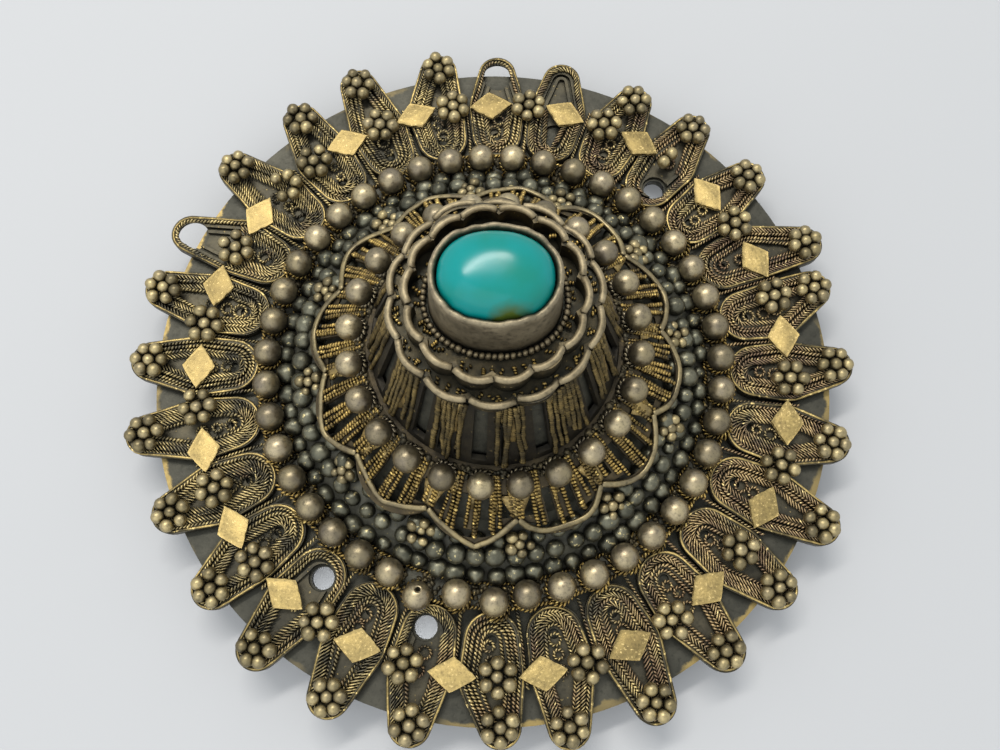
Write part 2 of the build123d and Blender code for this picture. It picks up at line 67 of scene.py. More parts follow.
# Petal: turn in degrees of the round hole near its arch, reach as a share of the arch ring
HOLES = {4: (-1.2, 1.01), 18: (0.6, 0.999), 20: (-1.0, 0.985), 6: (-0.4, 1.035)}
HOLE_R = 1.15
PLATE_HOLES = (4, 18, 20)
TIP_GRAIN_R = 0.56
WAIST_GRAIN_R = 0.582
LOZENGES = (
    # place on the ring, turn of the plate
    (8.8, -3.0), (25.6, 8.0), (42.5, -6.0), (60.4, -2.0), (77.3, -11.0), (93.1, 6.0), (109.0, 9.0),
    (124.6, -9.0), (148.6, 8.0), (165.3, 10.0), (182.1, -1.0), (198.8, -6.0), (214.8, -6.0),
    (230.6, 3.0), (246.9, 12.0), (264.7, 0.0), (281.1, 0.0), (297.5, 6.0), (315.3, 1.0),
    (334.0, 0.0), (351.3, 7.0),
)
LOZENGE_HALF = (1.414, 2.02)
LOZENGE_EDGE = 0.28
# Waist flower: the outer granules that it has lost, with its middle one
BROKEN = {2: (0, 3, 4, 5), 8: (1,)}
BEAD_COUNT = 43
BEAD_PHASE = 3.8
BEAD_RING_R = 19.45
BEAD_R = 1.18
BEAD_RISE = 1.447
# Bead: turn in degrees and way out of line
MOVED_BEADS = {30: (-0.4, 0.897), 32: (0.6, 0.425)}
DRILLED_BEAD = 30
DRILL_R, DRILL_DEPTH, DRILL_TILT = 0.23, 0.6, -27.0
# Radius and height of each break in the dome's slope, from its foot up
SLOPE = ((18.25, 4.9), (16.4, 6.8), (13.58, 7.9), (10.76, 10.7), (10.2, 11.8))
LOBE_COUNT = 12
LOBE_STEP = 360 / LOBE_COUNT
NOTCH_PHASE = 10.0
LOBE_R = 15.5
NOTCH_R = 13.9
CALYX_IN_R = 10.2
CALYX_T = 0.5
CALYX_FALL = (SHOULDER_TOP - CALYX_EDGE_Z, LOBE_R - CALYX_IN_R)
TIER_FOOT, TIER_TOP = (9.85, 12.4), (7.3, DOME_TOP)
TIER_FALL = (TIER_TOP[1] - TIER_FOOT[1], TIER_FOOT[0] - TIER_TOP[0])
ARC_COUNT = 14
STONE_HALF = (3.85, 3.05)

# Wires: width, height over the middle and pitch of the twist
PETAL_WIRE = (0.37, 0.19, 0.31)
CURL_WIRE = (0.3, 0.16, 0.27)
GAP_WIRE = (0.36, 0.19, 0.3)
SEAT_WIRE = (0.46, 0.26, 0.34)
LOOSE_WIRE = (0.44, 0.22, 0.34)
CALYX_SEAT_WIRE = (0.4, 0.24, 0.34)
COLLAR_BIT_WIRE = (0.34, 0.18, 0.26)
FOOT_WIRE = (0.5, 0.26, 0.42)

rng = np.random.default_rng(11)


# Mesh helpers
CIRCLE_STEP = 0.2
NOISE_REACH = 5
# How unlike the beads are, and the grains of a twisted wire
BEAD_SPREAD, GRAIN_SPREAD = 0.02, 0.1


def polar(radius, angle, height=0.0):
    """Points at a distance from the brooch's axis, in a direction and at a height."""
    a = np.radians(angle)
    return np.stack([radius * np.cos(a), radius * np.sin(a), np.full_like(a * 1.0, height)], -1)


def raised(path, height):
    """A path in plan, laid at a height."""
    return np.column_stack([path, np.full(len(path), height)])


def ring_path(centre, radius, height):
    """Circle in plan at a height."""
    t = np.linspace(0, tau, max(12, int(tau * radius / CIRCLE_STEP)), endpoint=False)
    return raised(centre + radius * np.stack([np.cos(t), np.sin(t)], 1), height)


def spun(points, angle):
    """Points turned about Z."""
    c, s = cos(radians(angle)), sin(radians(angle))
    x, y, z = points.T
    return np.column_stack([x * c - y * s, x * s + y * c, z])


def round_about(angle):
    """Level direction round the brooch's axis."""
    return np.array([-sin(radians(angle)), cos(radians(angle)), 0])


def cone_up(angle, fall, run):
    """Normal of a cone that falls by so much over a run outwards."""
    length = hypot(fall, run)
    a = radians(angle)
    return np.array([cos(a) * fall / length, sin(a) * fall / length, run / length])


def placed(name, data):
    """A new object in the scene."""
    thing = bpy.data.objects.new(name, data)
    scene.collection.objects.link(thing)
    return thing


class Shape:
    """Gathers vertices and faces, with a tone from 0 to 1 for each vertex."""

    def __init__(self):
        self.verts, self.faces, self.tones, self.count = [], [], [], 0

    def add(self, verts, faces, tone=0.5):
        verts = np.asarray(verts, float).reshape(-1, 3)
        self.verts.append(verts)
        self.tones.append(np.broadcast_to(np.asarray(tone, float), (len(verts),)))
        for group in faces:
            self.faces.append(np.asarray(group, int) + self.count)
        self.count += len(verts)

    def make(self, name, material, slot, replaces=()):
        """Makes the piece, smooth shaded, riding on the root body."""
        mesh = bpy.data.meshes.new(name)
        verts = np.concatenate(self.verts) * MM
        loops = np.concatenate([f.reshape(-1) for f in self.faces])
        sizes = np.concatenate([np.full(len(f), f.shape[1]) for f in self.faces])
        starts = np.concatenate([[0], np.cumsum(sizes)[:-1]])
        mesh.vertices.add(len(verts))
        mesh.vertices.foreach_set("co", verts.reshape(-1).astype(np.float32))
        mesh.loops.add(len(loops))
        mesh.loops.foreach_set("vertex_index", loops.astype(np.int32))
        mesh.polygons.add(len(sizes))
        mesh.polygons.foreach_set("loop_start", starts.astype(np.int32))
        mesh.polygons.foreach_set("loop_total", sizes.astype(np.int32))
        mesh.polygons.foreach_set("use_smooth", np.ones(len(sizes), bool))
        tone = mesh.attributes.new("tone", "FLOAT", "POINT")
        tone.data.foreach_set("value", np.concatenate(self.tones).astype(np.float32))
        mesh.update(calc_edges=True)
        mesh.validate()
        mesh.materials.append(material)
        piece = placed(name, mesh)
        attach(piece, "root")
        if replaces:
            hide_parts(*replaces)
        return piece


def grid_quads(rows, columns, closed_rows=False, closed_columns=False):
    """Quads between neighbouring points of a grid that is numbered row by row."""
    i, j = np.meshgrid(np.arange(rows - (not closed_rows)),
                       np.arange(columns - (not closed_columns)), indexing="ij")
    i2, j2 = (i + 1) % rows, (j + 1) % columns
    corners = [i * columns + j, i * columns + j2, i2 * columns + j2, i2 * columns + j]
    return np.stack(corners, -1).reshape(-1, 4)


def grid_border(rows, columns):
    """The points round a grid's edge, in order."""
    border = list(range(columns)) + [i * columns + columns - 1 for i in range(1, rows)]
    border += [rows * columns - 1 - i for i in range(1, columns)]
    return border + [i * columns for i in range(rows - 2, 0, -1)]


def fan(centre, first, count, flip=False):
    """Triangles from a centre to the ring of points that starts at first."""
    k = np.arange(count)
    a, b = first + k, first + (k + 1) % count
    return np.stack([np.full(count, centre), *((b, a) if flip else (a, b))], -1)


def ball(around, rings):
    """Unit ball as vertices, quads and triangles."""
    down, turn = np.meshgrid(pi * np.arange(1, rings) / rings, tau * np.arange(around) / around,
                             indexing="ij")
    belt = np.stack([np.sin(down) * np.cos(turn), np.sin(down) * np.sin(turn), -np.cos(down)], -1)
    verts = np.vstack([(0, 0, -1), belt.reshape(-1, 3), (0, 0, 1)])
    last = len(verts) - 1
    tris = np.vstack([fan(0, 1, around, flip=True), fan(last, last - around, around)])
    return verts, grid_quads(rings - 1, around, closed_columns=True) + 1, tris


def drilled_ball(around, rings, hole, depth):
    """Unit ball with a blind hole at its +Z end, as a lathed profile."""
    rim = np.arcsin(hole)
    profile = [(sin(a), -cos(a)) for a in np.linspace(0.06, pi - rim, rings)]
    # the rim is rounded over, and the hole narrows a little
    profile += [(hole * 0.9, cos(rim) - 0.03), (hole * 0.85, cos(rim) - depth)]
    t = np.arange(around) * tau / around
    verts = [(r * cos(a), r * sin(a), z) for r, z in profile for a in t]
    verts += [(0, 0, -1), (0, 0, profile[-1][1])]
    low, high = len(verts) - 2, len(verts) - 1
    tris = np.vstack([fan(low, 0, around, flip=True), fan(high, low - around, around)])
    return np.array(verts, float), grid_quads(len(profile), around, closed_columns=True), tris


BALL_FINE = ball(28, 16)
BALL_MID = ball(16, 10)
BALL_LOW = ball(8, 6)
GRAIN = ball(6, 4)
SMALL_GRAIN = ball(5, 3)


def stamp(shape, template, frames, places, tone):
    """Copies a template: frames (n, 3, 3) hold its axes as columns, places (n, 3) its centres."""
    verts, quads, tris = template
    n = len(places)
    moved = np.einsum("nij,vj->nvi", frames, verts) + places[:, None, :]
    step = (np.arange(n) * len(verts))[:, None, None]
    groups = [(step + g[None]).reshape(-1, g.shape[1]) for g in (quads, tris)]
    tones = np.broadcast_to(np.asarray(tone, float).reshape(-1, 1), (n, len(verts))).reshape(-1)
    shape.add(moved.reshape(-1, 3), groups, tones)


def scaled_frames(sizes, spins):
    """Frames for balls a little out of round, turned about Z."""
    frames = np.zeros((len(sizes), 3, 3))
    c, s = np.cos(spins), np.sin(spins)
    frames[:, 0, 0], frames[:, 0, 1] = c * sizes[:, 0], -s * sizes[:, 1]
    frames[:, 1, 0], frames[:, 1, 1] = s * sizes[:, 0], c * sizes[:, 1]
    frames[:, 2, 2] = sizes[:, 2]
    return frames


def bead_sizes(radius):
    """Half widths of a bead that is a little out of round."""
    return radius * (1 + BEAD_SPREAD * rng.normal(size=(1, 3)).clip(-1.2, 1))


def stamp_bead(shape, centre, sizes):
    stamp(shape, BALL_FINE, scaled_frames(sizes, rng.random(1) * tau), centre[None], rng.random(1))


def resample(path, step, closed):
    """Points at even steps along a path, and the directions there."""
    path = np.asarray(path, float)
    if closed:
        path = np.vstack([path, path[:1]])
    lengths = np.linalg.norm(np.diff(path, axis=0), axis=1)
    path = path[np.concatenate([[True], lengths > 1e-9])]
    total = np.concatenate([[0], np.cumsum(np.linalg.norm(np.diff(path, axis=0), axis=1))])
    n = max(3, int(round(total[-1] / step)))
    at = np.linspace(0, total[-1], n, endpoint=not closed)
    points = np.stack([np.interp(at, total, path[:, i]) for i in range(3)], 1)
    if closed:
        along = np.roll(points, -1, 0) - np.roll(points, 1, 0)
    else:
        along = np.gradient(points, axis=0)
    along /= np.linalg.norm(along, axis=1)[:, None]
    return points, along


def frames_on(along, up):
    """Side and top directions square to a path, for a wished up direction."""
    up = np.broadcast_to(np.asarray(up, float), along.shape)
    side = np.cross(up, along)
    side /= np.linalg.norm(side, axis=1)[:, None]
    return side, np.cross(along, side)


def smooth_noise(n, columns):
    """Random drift along a path, in about -1 to 1, soft over a few points."""
    raw = rng.normal(size=(n, columns))
    out = np.zeros_like(raw)
    for s in range(-NOISE_REACH, NOISE_REACH + 1):
        out += np.roll(raw, s, 0) * (1 - abs(s) / (NOISE_REACH + 1))
    return out / (out.std() * 2 + 1e-9)


def tube(shape, path, half_w, half_h, wobble, up=(0, 0, 1), sides=8, step=0.3, closed=False, tone=0.5):
    """Wire of oval section along a path."""
    points, along = resample(path, step, closed)
    side, top = frames_on(along, up)
    n = len(points)
    drift = smooth_noise(n, 2) * wobble
    points = points + side * drift[:, :1] + top * drift[:, 1:] * 0.6
    a = np.arange(sides) * tau / sides
    ring = side[:, None] * (half_w * np.cos(a))[None, :, None]
    ring = ring + top[:, None] * (half_h * np.sin(a))[None, :, None]
    verts = (points[:, None] + ring).reshape(-1, 3)
    groups = [grid_quads(n, sides, closed_rows=closed, closed_columns=True)]
    if not closed:
        centre, bulge = len(verts), half_h * 0.4
        verts = np.vstack([verts, points[:1] - along[:1] * bulge, points[-1:] + along[-1:] * bulge])
        groups.append(fan(centre, 0, sides, flip=True))
        groups.append(fan(centre + 1, centre - sides, sides))
    shape.add(verts, groups, tone)


def rope(shape, path, width, height, pitch, up=(0, 0, 1), lean=42.0, closed=False, wobble=0.0,
         tone=None, template=GRAIN):
    """Twisted wire: slanted grains along a path, whose tone may run from one value to another."""
    points, along = resample(path, pitch, closed)
    side, top = frames_on(along, up)
    n = len(points)
    if wobble:
        drift = smooth_noise(n, 2) * wobble
        points = points + side * drift[:, :1] + top * drift[:, 1:]
    c, s = cos(radians(lean)), sin(radians(lean))
    long_dir = along * c + side * s
    short_dir = np.cross(top, long_dir)
    # grains overlap a little, and stay short where they hardly lean
    half_long = width / (2 * max(s, 0.35))
    half_short = 0.56 * pitch * max(s, 0.5)
    size = 1 + GRAIN_SPREAD * rng.normal(size=(n, 1))
    frames = [long_dir * half_long * size, short_dir * half_short * size, top * height * size]
    # the tone drifts along the wire and jumps a little from grain to grain
    tones = (0.5 + 0.3 * smooth_noise(n, 1)[:, 0] + 0.4 * (rng.random(n) - 0.5)).clip(0, 1)
    if tone:
        tones = (tones - 0.5 + np.linspace(*tone, n)).clip(0, 1)
    stamp(shape, template, np.stack(frames, -1), points, tones)


def sheet(shape, top, drop):
    """Closed thin plate: a grid of points for its face, and the way down through it."""
    n, m = top.shape[:2]
    face = top.reshape(-1, 3)
    quads = grid_quads(n, m)
    border = grid_border(n, m)
    ahead = border[1:] + border[:1]
    walls = np.array([(b, a, a + n * m, b + n * m) for a, b in zip(border, ahead)])
    shape.add(np.vstack([face, face + drop]), [quads, quads[:, ::-1] + n * m, walls])


def loft_rings(shape, rings, capped):
    """Closed skin over rings of points: both ends capped, or the last ring joined to the first."""
    count, n = len(rings), len(rings[0])
    verts = np.vstack(rings + [rings[0].mean(0), rings[-1].mean(0)] * capped)
    groups = [grid_quads(count, n, closed_rows=not capped, closed_columns=True)]
    if capped:
        groups.append(fan(count * n, 0, n, flip=True))
        groups.append(fan(count * n + 1, (count - 1) * n, n))
    shape.add(verts, groups)


# Materials
def rgba(colour):
    """A grey level or an RGB colour, opaque."""
    return (colour, colour, colour, 1) if isinstance(colour, (int, float)) else (*colour, 1)


class Graph:
    """A new material, with short calls that add nodes to it."""

    def __init__(self, name):
        self.material = bpy.data.materials.new(name)
        self.material.use_nodes = True
        self.tree = self.material.node_tree
        self.shader = self.tree.nodes["Principled BSDF"].inputs
        self.where = self.node("TexCoord", {})["Object"]

    def join(self, socket, value):
        """Links another node's output to a socket, or sets it to a constant."""
        if isinstance(value, bpy.types.NodeSocket):
            self.tree.links.new(value, socket)
        else:
            socket.default_value = value

    def node(self, kind, inputs, **settings):
        """Adds a node with these settings and inputs, and gives its outputs."""
        node = self.tree.nodes.new("ShaderNode" + kind)
        for key, value in settings.items():
            setattr(node, key, value)
        for socket, value in inputs.items():
            self.join(node.inputs[socket], value)
        return node.outputs

    def ramp(self, source, *stops):
        """Colour ramp through (position, grey or colour) stops."""
        node = self.tree.nodes.new("ShaderNodeValToRGB")
        elements = node.color_ramp.elements
        for element, (position, colour) in zip(elements, (stops[0], stops[-1])):
            element.position, element.color = position, rgba(colour)
        for position, colour in stops[1:-1]:
            elements.new(position).color = rgba(colour)
        self.join(node.inputs["Fac"], source)
        return node.outputs["Color"]

    def noise(self, scale, detail, rough=0.55):
        inputs = {"Vector": self.where, "Scale": scale, "Detail": detail, "Roughness": rough}
        return self.node("TexNoise", inputs)["Fac"]

    def mix(self, factor, a, b, kind="MIX"):
        """Blends two colours or outputs."""
        a, b = (v if isinstance(v, bpy.types.NodeSocket) else rgba(v) for v in (a, b))
        return self.node("Mix", {0: factor, 6: a, 7: b}, data_type="RGBA", blend_type=kind)[2]

    def maths(self, kind, a, b):
        return self.node("Math", {0: a, 1: b}, operation=kind)[0]

    def uneven(self, source, spread):
        """A noise output as a length that swings about zero."""
        return self.maths("MULTIPLY", self.maths("SUBTRACT", source, 0.5), spread * MM)


RIM_SPAN = 30.0
BUMP_DEPTH = 0.04
# A vertex's tone, and what the metal's colour is multiplied by there
TONES = ((0.0, 0.55), (0.5, 0.95), (1.0, 1.3))


def metal(name, light, mid, dark, crevice, rough, glint=None, glint_share=0.62, patch=420,
          grain=2600, bump=0.25, spread=0.5, metallic=0.9, use_tone=True, blush=None, rim=None):
    """Worn metal: patches of light and mid colour, painted shade and blackening in the crevices, small
    painted glints.
    """
    g = Graph(name)
    g.shader["Metallic"].default_value = metallic
    patches, fine = g.noise(patch, 5.0, 0.6), g.noise(grain, 3.0, 0.6)
    colour = g.mix(g.ramp(patches, (0.5 - spread / 3, 0), (0.5 + spread / 3, 1)), mid, light)
    if use_tone:
        tone = g.node("Attribute", {}, attribute_name="tone")["Fac"]
        colour = g.mix(1.0, colour, g.ramp(tone, *TONES), "MULTIPLY")
    if blush:
        # a stain that is stronger towards +X
        east = g.maths("MULTIPLY", g.node("SeparateXYZ", {0: g.where})["X"], 6.0)
        stain = g.maths("ADD", g.noise(330, 3.0), g.maths("ADD", east, 0.06))
        colour = g.mix(g.ramp(stain, (0.52, 0), (0.7, 0.5)), colour, blush)
    if glint:
        colour = g.mix(g.ramp(fine, (glint_share, 0), (glint_share + 0.07, 1)), colour, glint)
    # painted shade with blackening: the colour goes dark where ambient occlusion finds crevices, broken up
    # by fine noise
    open_share = g.node("AmbientOcclusion", {"Distance": crevice * MM}, samples=6)["AO"]
    free_of_shade_and_blackening = g.maths("MULTIPLY", g.ramp(open_share, (0.25, 0), (0.85, 1)),
                    g.ramp(fine, (0.28, 0.5), (0.5, 1)))
    colour = g.mix(free_of_shade_and_blackening, dark, colour)
    if rim:
        # worn bright from a share of RIM_SPAN outwards, in broken stretches
        start, bright = rim
        flat = g.node("VectorMath", {0: g.where, 1: (1, 1, 0)}, operation="MULTIPLY")[0]
        reach = g.node("VectorMath", {0: flat}, operation="LENGTH")["Value"]
        reach = g.maths("DIVIDE", g.maths("ADD", reach, g.uneven(patches, 2.6)), RIM_SPAN * MM)
        wear_and_side_light = g.maths("MULTIPLY", g.ramp(reach, (start, 0), (start + 0.006, 1)),
                       g.ramp(g.noise(70, 3.0), (0.47, 0), (0.56, 0.85)))
        colour = g.mix(wear_and_side_light, colour, bright)
    g.join(g.shader["Base Color"], colour)
    g.join(g.shader["Roughness"], g.ramp(fine, (0.3, rough[0]), (0.7, rough[1])))
    bumps = {"Strength": bump, "Distance": BUMP_DEPTH * MM, "Height": fine}
    g.join(g.shader["Normal"], g.node("Bump", bumps)[0])
    return g.material


# crevice colour: painted shade, with blackening
SHADE_AND_BLACKENING = (0.02, 0.02, 0.015)
petal_metal = metal(
    "petal_metal", (0.095, 0.083, 0.055), (0.045, 0.042, 0.032), SHADE_AND_BLACKENING, crevice=0.5,
    glint=(0.35, 0.27, 0.12), glint_share=0.66, rough=(0.4, 0.6), use_tone=False)
wire_metal = metal(
    "wire_metal", (0.56, 0.44, 0.2), (0.1, 0.088, 0.06), (0.045, 0.041, 0.031), crevice=0.34,
    spread=0.32, glint=(0.95, 0.77, 0.36), glint_share=0.61, rough=(0.36, 0.54),
    blush=(0.33, 0.2, 0.12))
rim_metal = metal(
    "rim_metal", (0.4, 0.32, 0.165), (0.17, 0.14, 0.088), SHADE_AND_BLACKENING, crevice=0.45, rough=(0.35, 0.55))
petal_rim_metal = metal(
    "petal_rim_metal", (0.5, 0.37, 0.14), (0.085, 0.07, 0.04), SHADE_AND_BLACKENING, crevice=0.4, spread=0.3,
    patch=300, glint=(0.85, 0.66, 0.28), glint_share=0.6, rough=(0.34, 0.52))
bead_metal = metal(
    "bead_metal", (0.415, 0.342, 0.2), (0.245, 0.205, 0.145), (0.045, 0.041, 0.032), crevice=1.3,
    patch=560, grain=4200, rough=(0.32, 0.47), bump=0.2)
grain_metal = metal(
    "grain_metal", (0.41, 0.33, 0.165), (0.25, 0.205, 0.12), (0.045, 0.041, 0.029), crevice=0.7,
    patch=600, rough=(0.35, 0.52), bump=0.3)
dark_grain = metal(
    "dark_grain", (0.185, 0.175, 0.122), (0.088, 0.088, 0.064), (0.05, 0.05, 0.038), crevice=0.7,
    patch=500, rough=(0.32, 0.5), bump=0.6, glint=(0.62, 0.52, 0.26), glint_share=0.63)
crumb_metal = metal(
    "crumb_metal", (0.15, 0.12, 0.066), (0.055, 0.05, 0.036), (0.028, 0.027, 0.02), crevice=0.4,
    patch=700, rough=(0.45, 0.65), bump=0.8, glint=(0.6, 0.46, 0.2))
gold_sheet = metal(
    "gold_sheet", (0.47, 0.35, 0.135), (0.33, 0.245, 0.1), (0.08, 0.06, 0.03), crevice=0.3,
    glint=(0.7, 0.54, 0.24), glint_share=0.6, patch=760, grain=4600, rough=(0.42, 0.6), bump=0.6)
strand_metal = metal(
    "strand_metal", (0.46, 0.315, 0.095), (0.175, 0.122, 0.048), SHADE_AND_BLACKENING, crevice=0.34, spread=0.4,
    patch=700, glint=(0.9, 0.68, 0.24), glint_share=0.59, rough=(0.34, 0.54), bump=0.6)
tier_wire = metal(
    "tier_wire", (0.29, 0.205, 0.074), (0.085, 0.064, 0.031), SHADE_AND_BLACKENING, crevice=0.4, spread=0.4,
    patch=500, rough=(0.4, 0.58))
web_metal = metal(
    "web_metal", (0.48, 0.34, 0.125), (0.2, 0.15, 0.07), SHADE_AND_BLACKENING, crevice=0.5, patch=900,
    glint=(0.8, 0.62, 0.27), glint_share=0.66, rough=(0.36, 0.52), bump=0.6, use_tone=False)
collar_metal = metal(
    "collar_metal", (0.41, 0.335, 0.205), (0.21, 0.168, 0.098), (0.04, 0.034, 0.025), crevice=0.7,
    patch=620, rough=(0.48, 0.64), bump=0.45, metallic=0.8, use_tone=False)
cup_metal = metal(
    "cup_metal", (0.38, 0.315, 0.205), (0.2, 0.165, 0.105), (0.05, 0.043, 0.03), crevice=0.9, patch=480,
    rough=(0.44, 0.6), bump=0.5, metallic=0.8, use_tone=False)
# painted shade: the collar's walls and floors under the wires are coloured dark like the shadow there
collar_wall = metal(
    "collar_wall", (0.12, 0.095, 0.052), (0.028, 0.025, 0.019), SHADE_AND_BLACKENING, crevice=1.5, spread=0.35,
    patch=560, glint=(0.6, 0.45, 0.18), glint_share=0.66, rough=(0.4, 0.58), bump=0.5, use_tone=False)
dark_sheet = metal(
    "dark_sheet", (0.125, 0.12, 0.09), (0.066, 0.065, 0.05), (0.04, 0.039, 0.031), crevice=0.9,
    patch=900, glint=(0.3, 0.25, 0.12), glint_share=0.66, rough=(0.5, 0.72), bump=1.0, metallic=0.7,
    use_tone=False)
tier_sheet = metal(
    "tier_sheet", (0.042, 0.034, 0.02), (0.019, 0.016, 0.012), (0.01, 0.009, 0.007), crevice=0.9,
    patch=700, glint=(0.34, 0.25, 0.1), glint_share=0.67, rough=(0.5, 0.7), bump=0.8, metallic=0.7,
    use_tone=False)
calyx_sheet = metal(
    "calyx_sheet", (0.11, 0.082, 0.04), (0.05, 0.039, 0.023), (0.026, 0.021, 0.014), crevice=0.9,
    patch=900, glint=(0.34, 0.25, 0.1), glint_share=0.64, rough=(0.5, 0.72), bump=1.0, metallic=0.7,
    use_tone=False)
plate_metal = metal(
    "plate_metal", (0.082, 0.078, 0.061), (0.048, 0.047, 0.038), (0.02, 0.02, 0.015), crevice=0.9,
    patch=380, rough=(0.42, 0.6), bump=0.4, use_tone=False, rim=(0.974, (0.36, 0.265, 0.1)))


def paint(node, material):
    """Gives a CAD node its finished material."""
    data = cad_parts[node].data
    data.materials.clear()
    data.materials.append(material)


# Petals
LEAF_STEP = 0.25
RIM_INSET, RIM_HALF = 0.13, (0.11, 0.09)
# A petal's wires: set in from its edge, each lying a little lower than the last
WIRE_INSETS = (0.42, 0.8, 1.18, 1.56)
WIRE_SINK, NEXT_SINK = 0.12, 0.05
# Room round a hole: for the outer wires pushed aside, for wires cut short and for curls
PUSHED_WIRES = 2
PUSHED_ROOM, CUT_ROOM, CURL_ROOM = 0.22, 0.3, 0.75
CURL_RINGS, CURL_R, CURL_SINK = (23.3, 24.5, 25.8), 0.44, 0.26
# Loose strand between two petals
GAP_SPAN, GAP_SINK = (20.75, 26.6), 0.2
BARE_SHARE = 0.62


def petal_angle(k):
    """Direction of petal k, before its tip drifts."""
    return PETAL_PHASE + k * 360 / PETAL_COUNT


def tip_centre(k, height=0.0):
    drift, reach = PETALS[k]
    return polar(TIP_RING_R * reach, petal_angle(k) + drift, height)


def hole_centre(k):
    """Plan centre of petal k's round hole, or the brooch's own where it has none."""
    turn, share = HOLES.get(k, (0.0, 0.0))
    return polar(ARCH_RING_R * share, petal_angle(k) + turn)[:2]


def leaf(k, inset):
    """Closed outline of petal k in plan, set in by inset: arcs at its arch, waist and tip."""
    even = petal_angle(k)
    centres = [polar(ARCH_RING_R, even)[:2], polar(WAIST_RING_R, even)[:2], tip_centre(k)[:2]]
    radii = [ARCH_R - inset, WAIST_R - inset, TIP_R - inset]

    def arc(i, start, end, turn):
        a, b = np.arctan2(*start[::-1]), np.arctan2(*end[::-1])
        sweep = (b - a) % tau if turn > 0 else -((a - b) % tau)
        if abs(sweep) > tau - 0.2:
            # no arc at all, turned right round by rounding
            sweep = 0.0
        n = max(2, int(abs(sweep) * radii[i] / LEAF_STEP) + 1)
        t = a + np.linspace(0, 1, n) * sweep
        return centres[i] + radii[i] * np.stack([np.cos(t), np.sin(t)], 1)

    back, front = centres[0] - centres[1], centres[2] - centres[1]
    halves = []
    for side in (-1, 1):
        normals = []
        for i in (0, 1):
            along = centres[i + 1] - centres[i]
            length = np.linalg.norm(along)
            along = along / length
            across = np.array([-along[1], along[0]]) * side
            lean = (radii[i] - radii[i + 1]) / length
            normals.append(along * lean + across * sqrt(1 - lean * lean))
        ends = (back, *normals, front)
        halves.append(np.vstack([arc(i, ends[i], ends[i + 1], -side) for i in range(3)]))
    return np.vstack([halves[0], halves[1][::-1]])


def clear_runs(k, path, wire):
    """What is left of a petal's wire at its hole and at its bare tip, and whether it is whole."""
    hole = hole_centre(k)
    away = path[:, :2] - hole
    gap = np.linalg.norm(away, axis=1)
    clear = np.full(len(path), True)
    if k in HOLES and wire < PUSHED_WIRES:
        edge = HOLE_R + PUSHED_ROOM
        near = gap < edge
        path[near, :2] = hole + away[near] / gap[near, None] * edge
    elif k in HOLES:
        clear = gap > HOLE_R + CUT_ROOM
    if k in BARE_PETALS:
        clear &= np.linalg.norm(path[:, :2] - tip_centre(k)[:2], axis=1) > BARE_SHARE * TIP_R
    if clear.all():
        return [path], True
    middle = len(path) // 2
    return [path[half][clear[half]] for half in (slice(None, middle), slice(middle, None))], False


petal_rims = Shape()
for k in range(PETAL_COUNT):
    tone = 0.0 if k in BARE_PETALS else 0.3 + 0.5 * rng.random()
    tube(petal_rims, raised(leaf(k, RIM_INSET), PETAL_TOP + 0.02), *RIM_HALF, wobble=0.06, sides=6,
         step=0.45, closed=True, tone=tone)
petal_rims.make("petal_rims", petal_rim_metal, "old_gold")

quarter = PETAL_COUNT // 4
for part in range(4):
    twists = Shape()
    for k in range(part * quarter, (part + 1) * quarter):
        even = petal_angle(k)
        # painted light: the wires are brighter at the two sides than at the front and back, as the light
        # falls on them
        wear_and_side_light = 0.5 + 0.3 * abs(cos(radians(even))) + 0.06 * cos(radians(even))
        for i, inset in enumerate(WIRE_INSETS):
            height = PETAL_TOP - WIRE_SINK - NEXT_SINK * i
            path = raised(leaf(k, inset), height + 0.03 * rng.normal())
            runs, closed = clear_runs(k, path, i)
            lean = rng.choice((-1, 1)) * (36 + 10 * rng.random())
            for run in runs:
                rope(twists, run, *PETAL_WIRE, closed=closed, lean=lean, wobble=0.07,
                     tone=(wear_and_side_light, wear_and_side_light))
        for ring_r in CURL_RINGS:
            # small curls round a dark eye, down the middle of the petal
            eye = polar(ring_r + 0.08 * rng.normal(), even + 0.3 * rng.normal())[:2]
            if np.linalg.norm(eye - hole_centre(k)) > HOLE_R + CURL_ROOM:
                curl = ring_path(eye, CURL_R + 0.05 * rng.normal(), PETAL_TOP - CURL_SINK)
                rope(twists, curl, *CURL_WIRE, closed=True)
        # a loose strand in the gap to the next petal
        between = even + 180 / PETAL_COUNT + 0.5 * rng.normal() * np.linspace(1, 0.2, 20)
        strand = polar(np.linspace(*GAP_SPAN, 20), between, PETAL_TOP - GAP_SINK)
        rope(twists, strand, *GAP_WIRE, lean=40, wobble=0.04)
    twists.make(f"petal_twists_{part + 1}", wire_metal, "old_gold")

for k in range(PETAL_COUNT):
    paint(f"petal_{k + 1:02d}", petal_metal)


# Granule flowers
GRAIN_SINK = 0.04
WIDE_GAP = 1.3


def flower_grains(centre, spin, size, lost=(), count=6):
    """Centres of a flower's granules. Where outer ones are lost, so is the middle one."""
    ring = 2 * size - GRAIN_SINK
    points = [] if lost else [np.zeros(3)]
    points += [polar(ring, spin + k * 360 / count) for k in range(count) if k not in lost]
    return np.array(points) + centre


def grain_piece(name, groups, replaces, spread=0.05, push=0.05):
    """Granules a little uneven in size and place."""
    shape = Shape()
    for centres, size in groups:
        n = len(centres)
        sizes = size * (1 + spread * rng.normal(size=(n, 1)).clip(-1.6, 1.0))
        sizes = sizes * (1 + 0.03 * rng.normal(size=(n, 3)))
        places = centres + rng.normal(size=(n, 3)).clip(-1.5, 1.5) * (push, push, push * 0.4)
        stamp(shape, BALL_MID, scaled_frames(sizes, rng.random(n) * tau), places, rng.random(n))
    shape.make(name, grain_metal, "gilt", replaces=replaces)


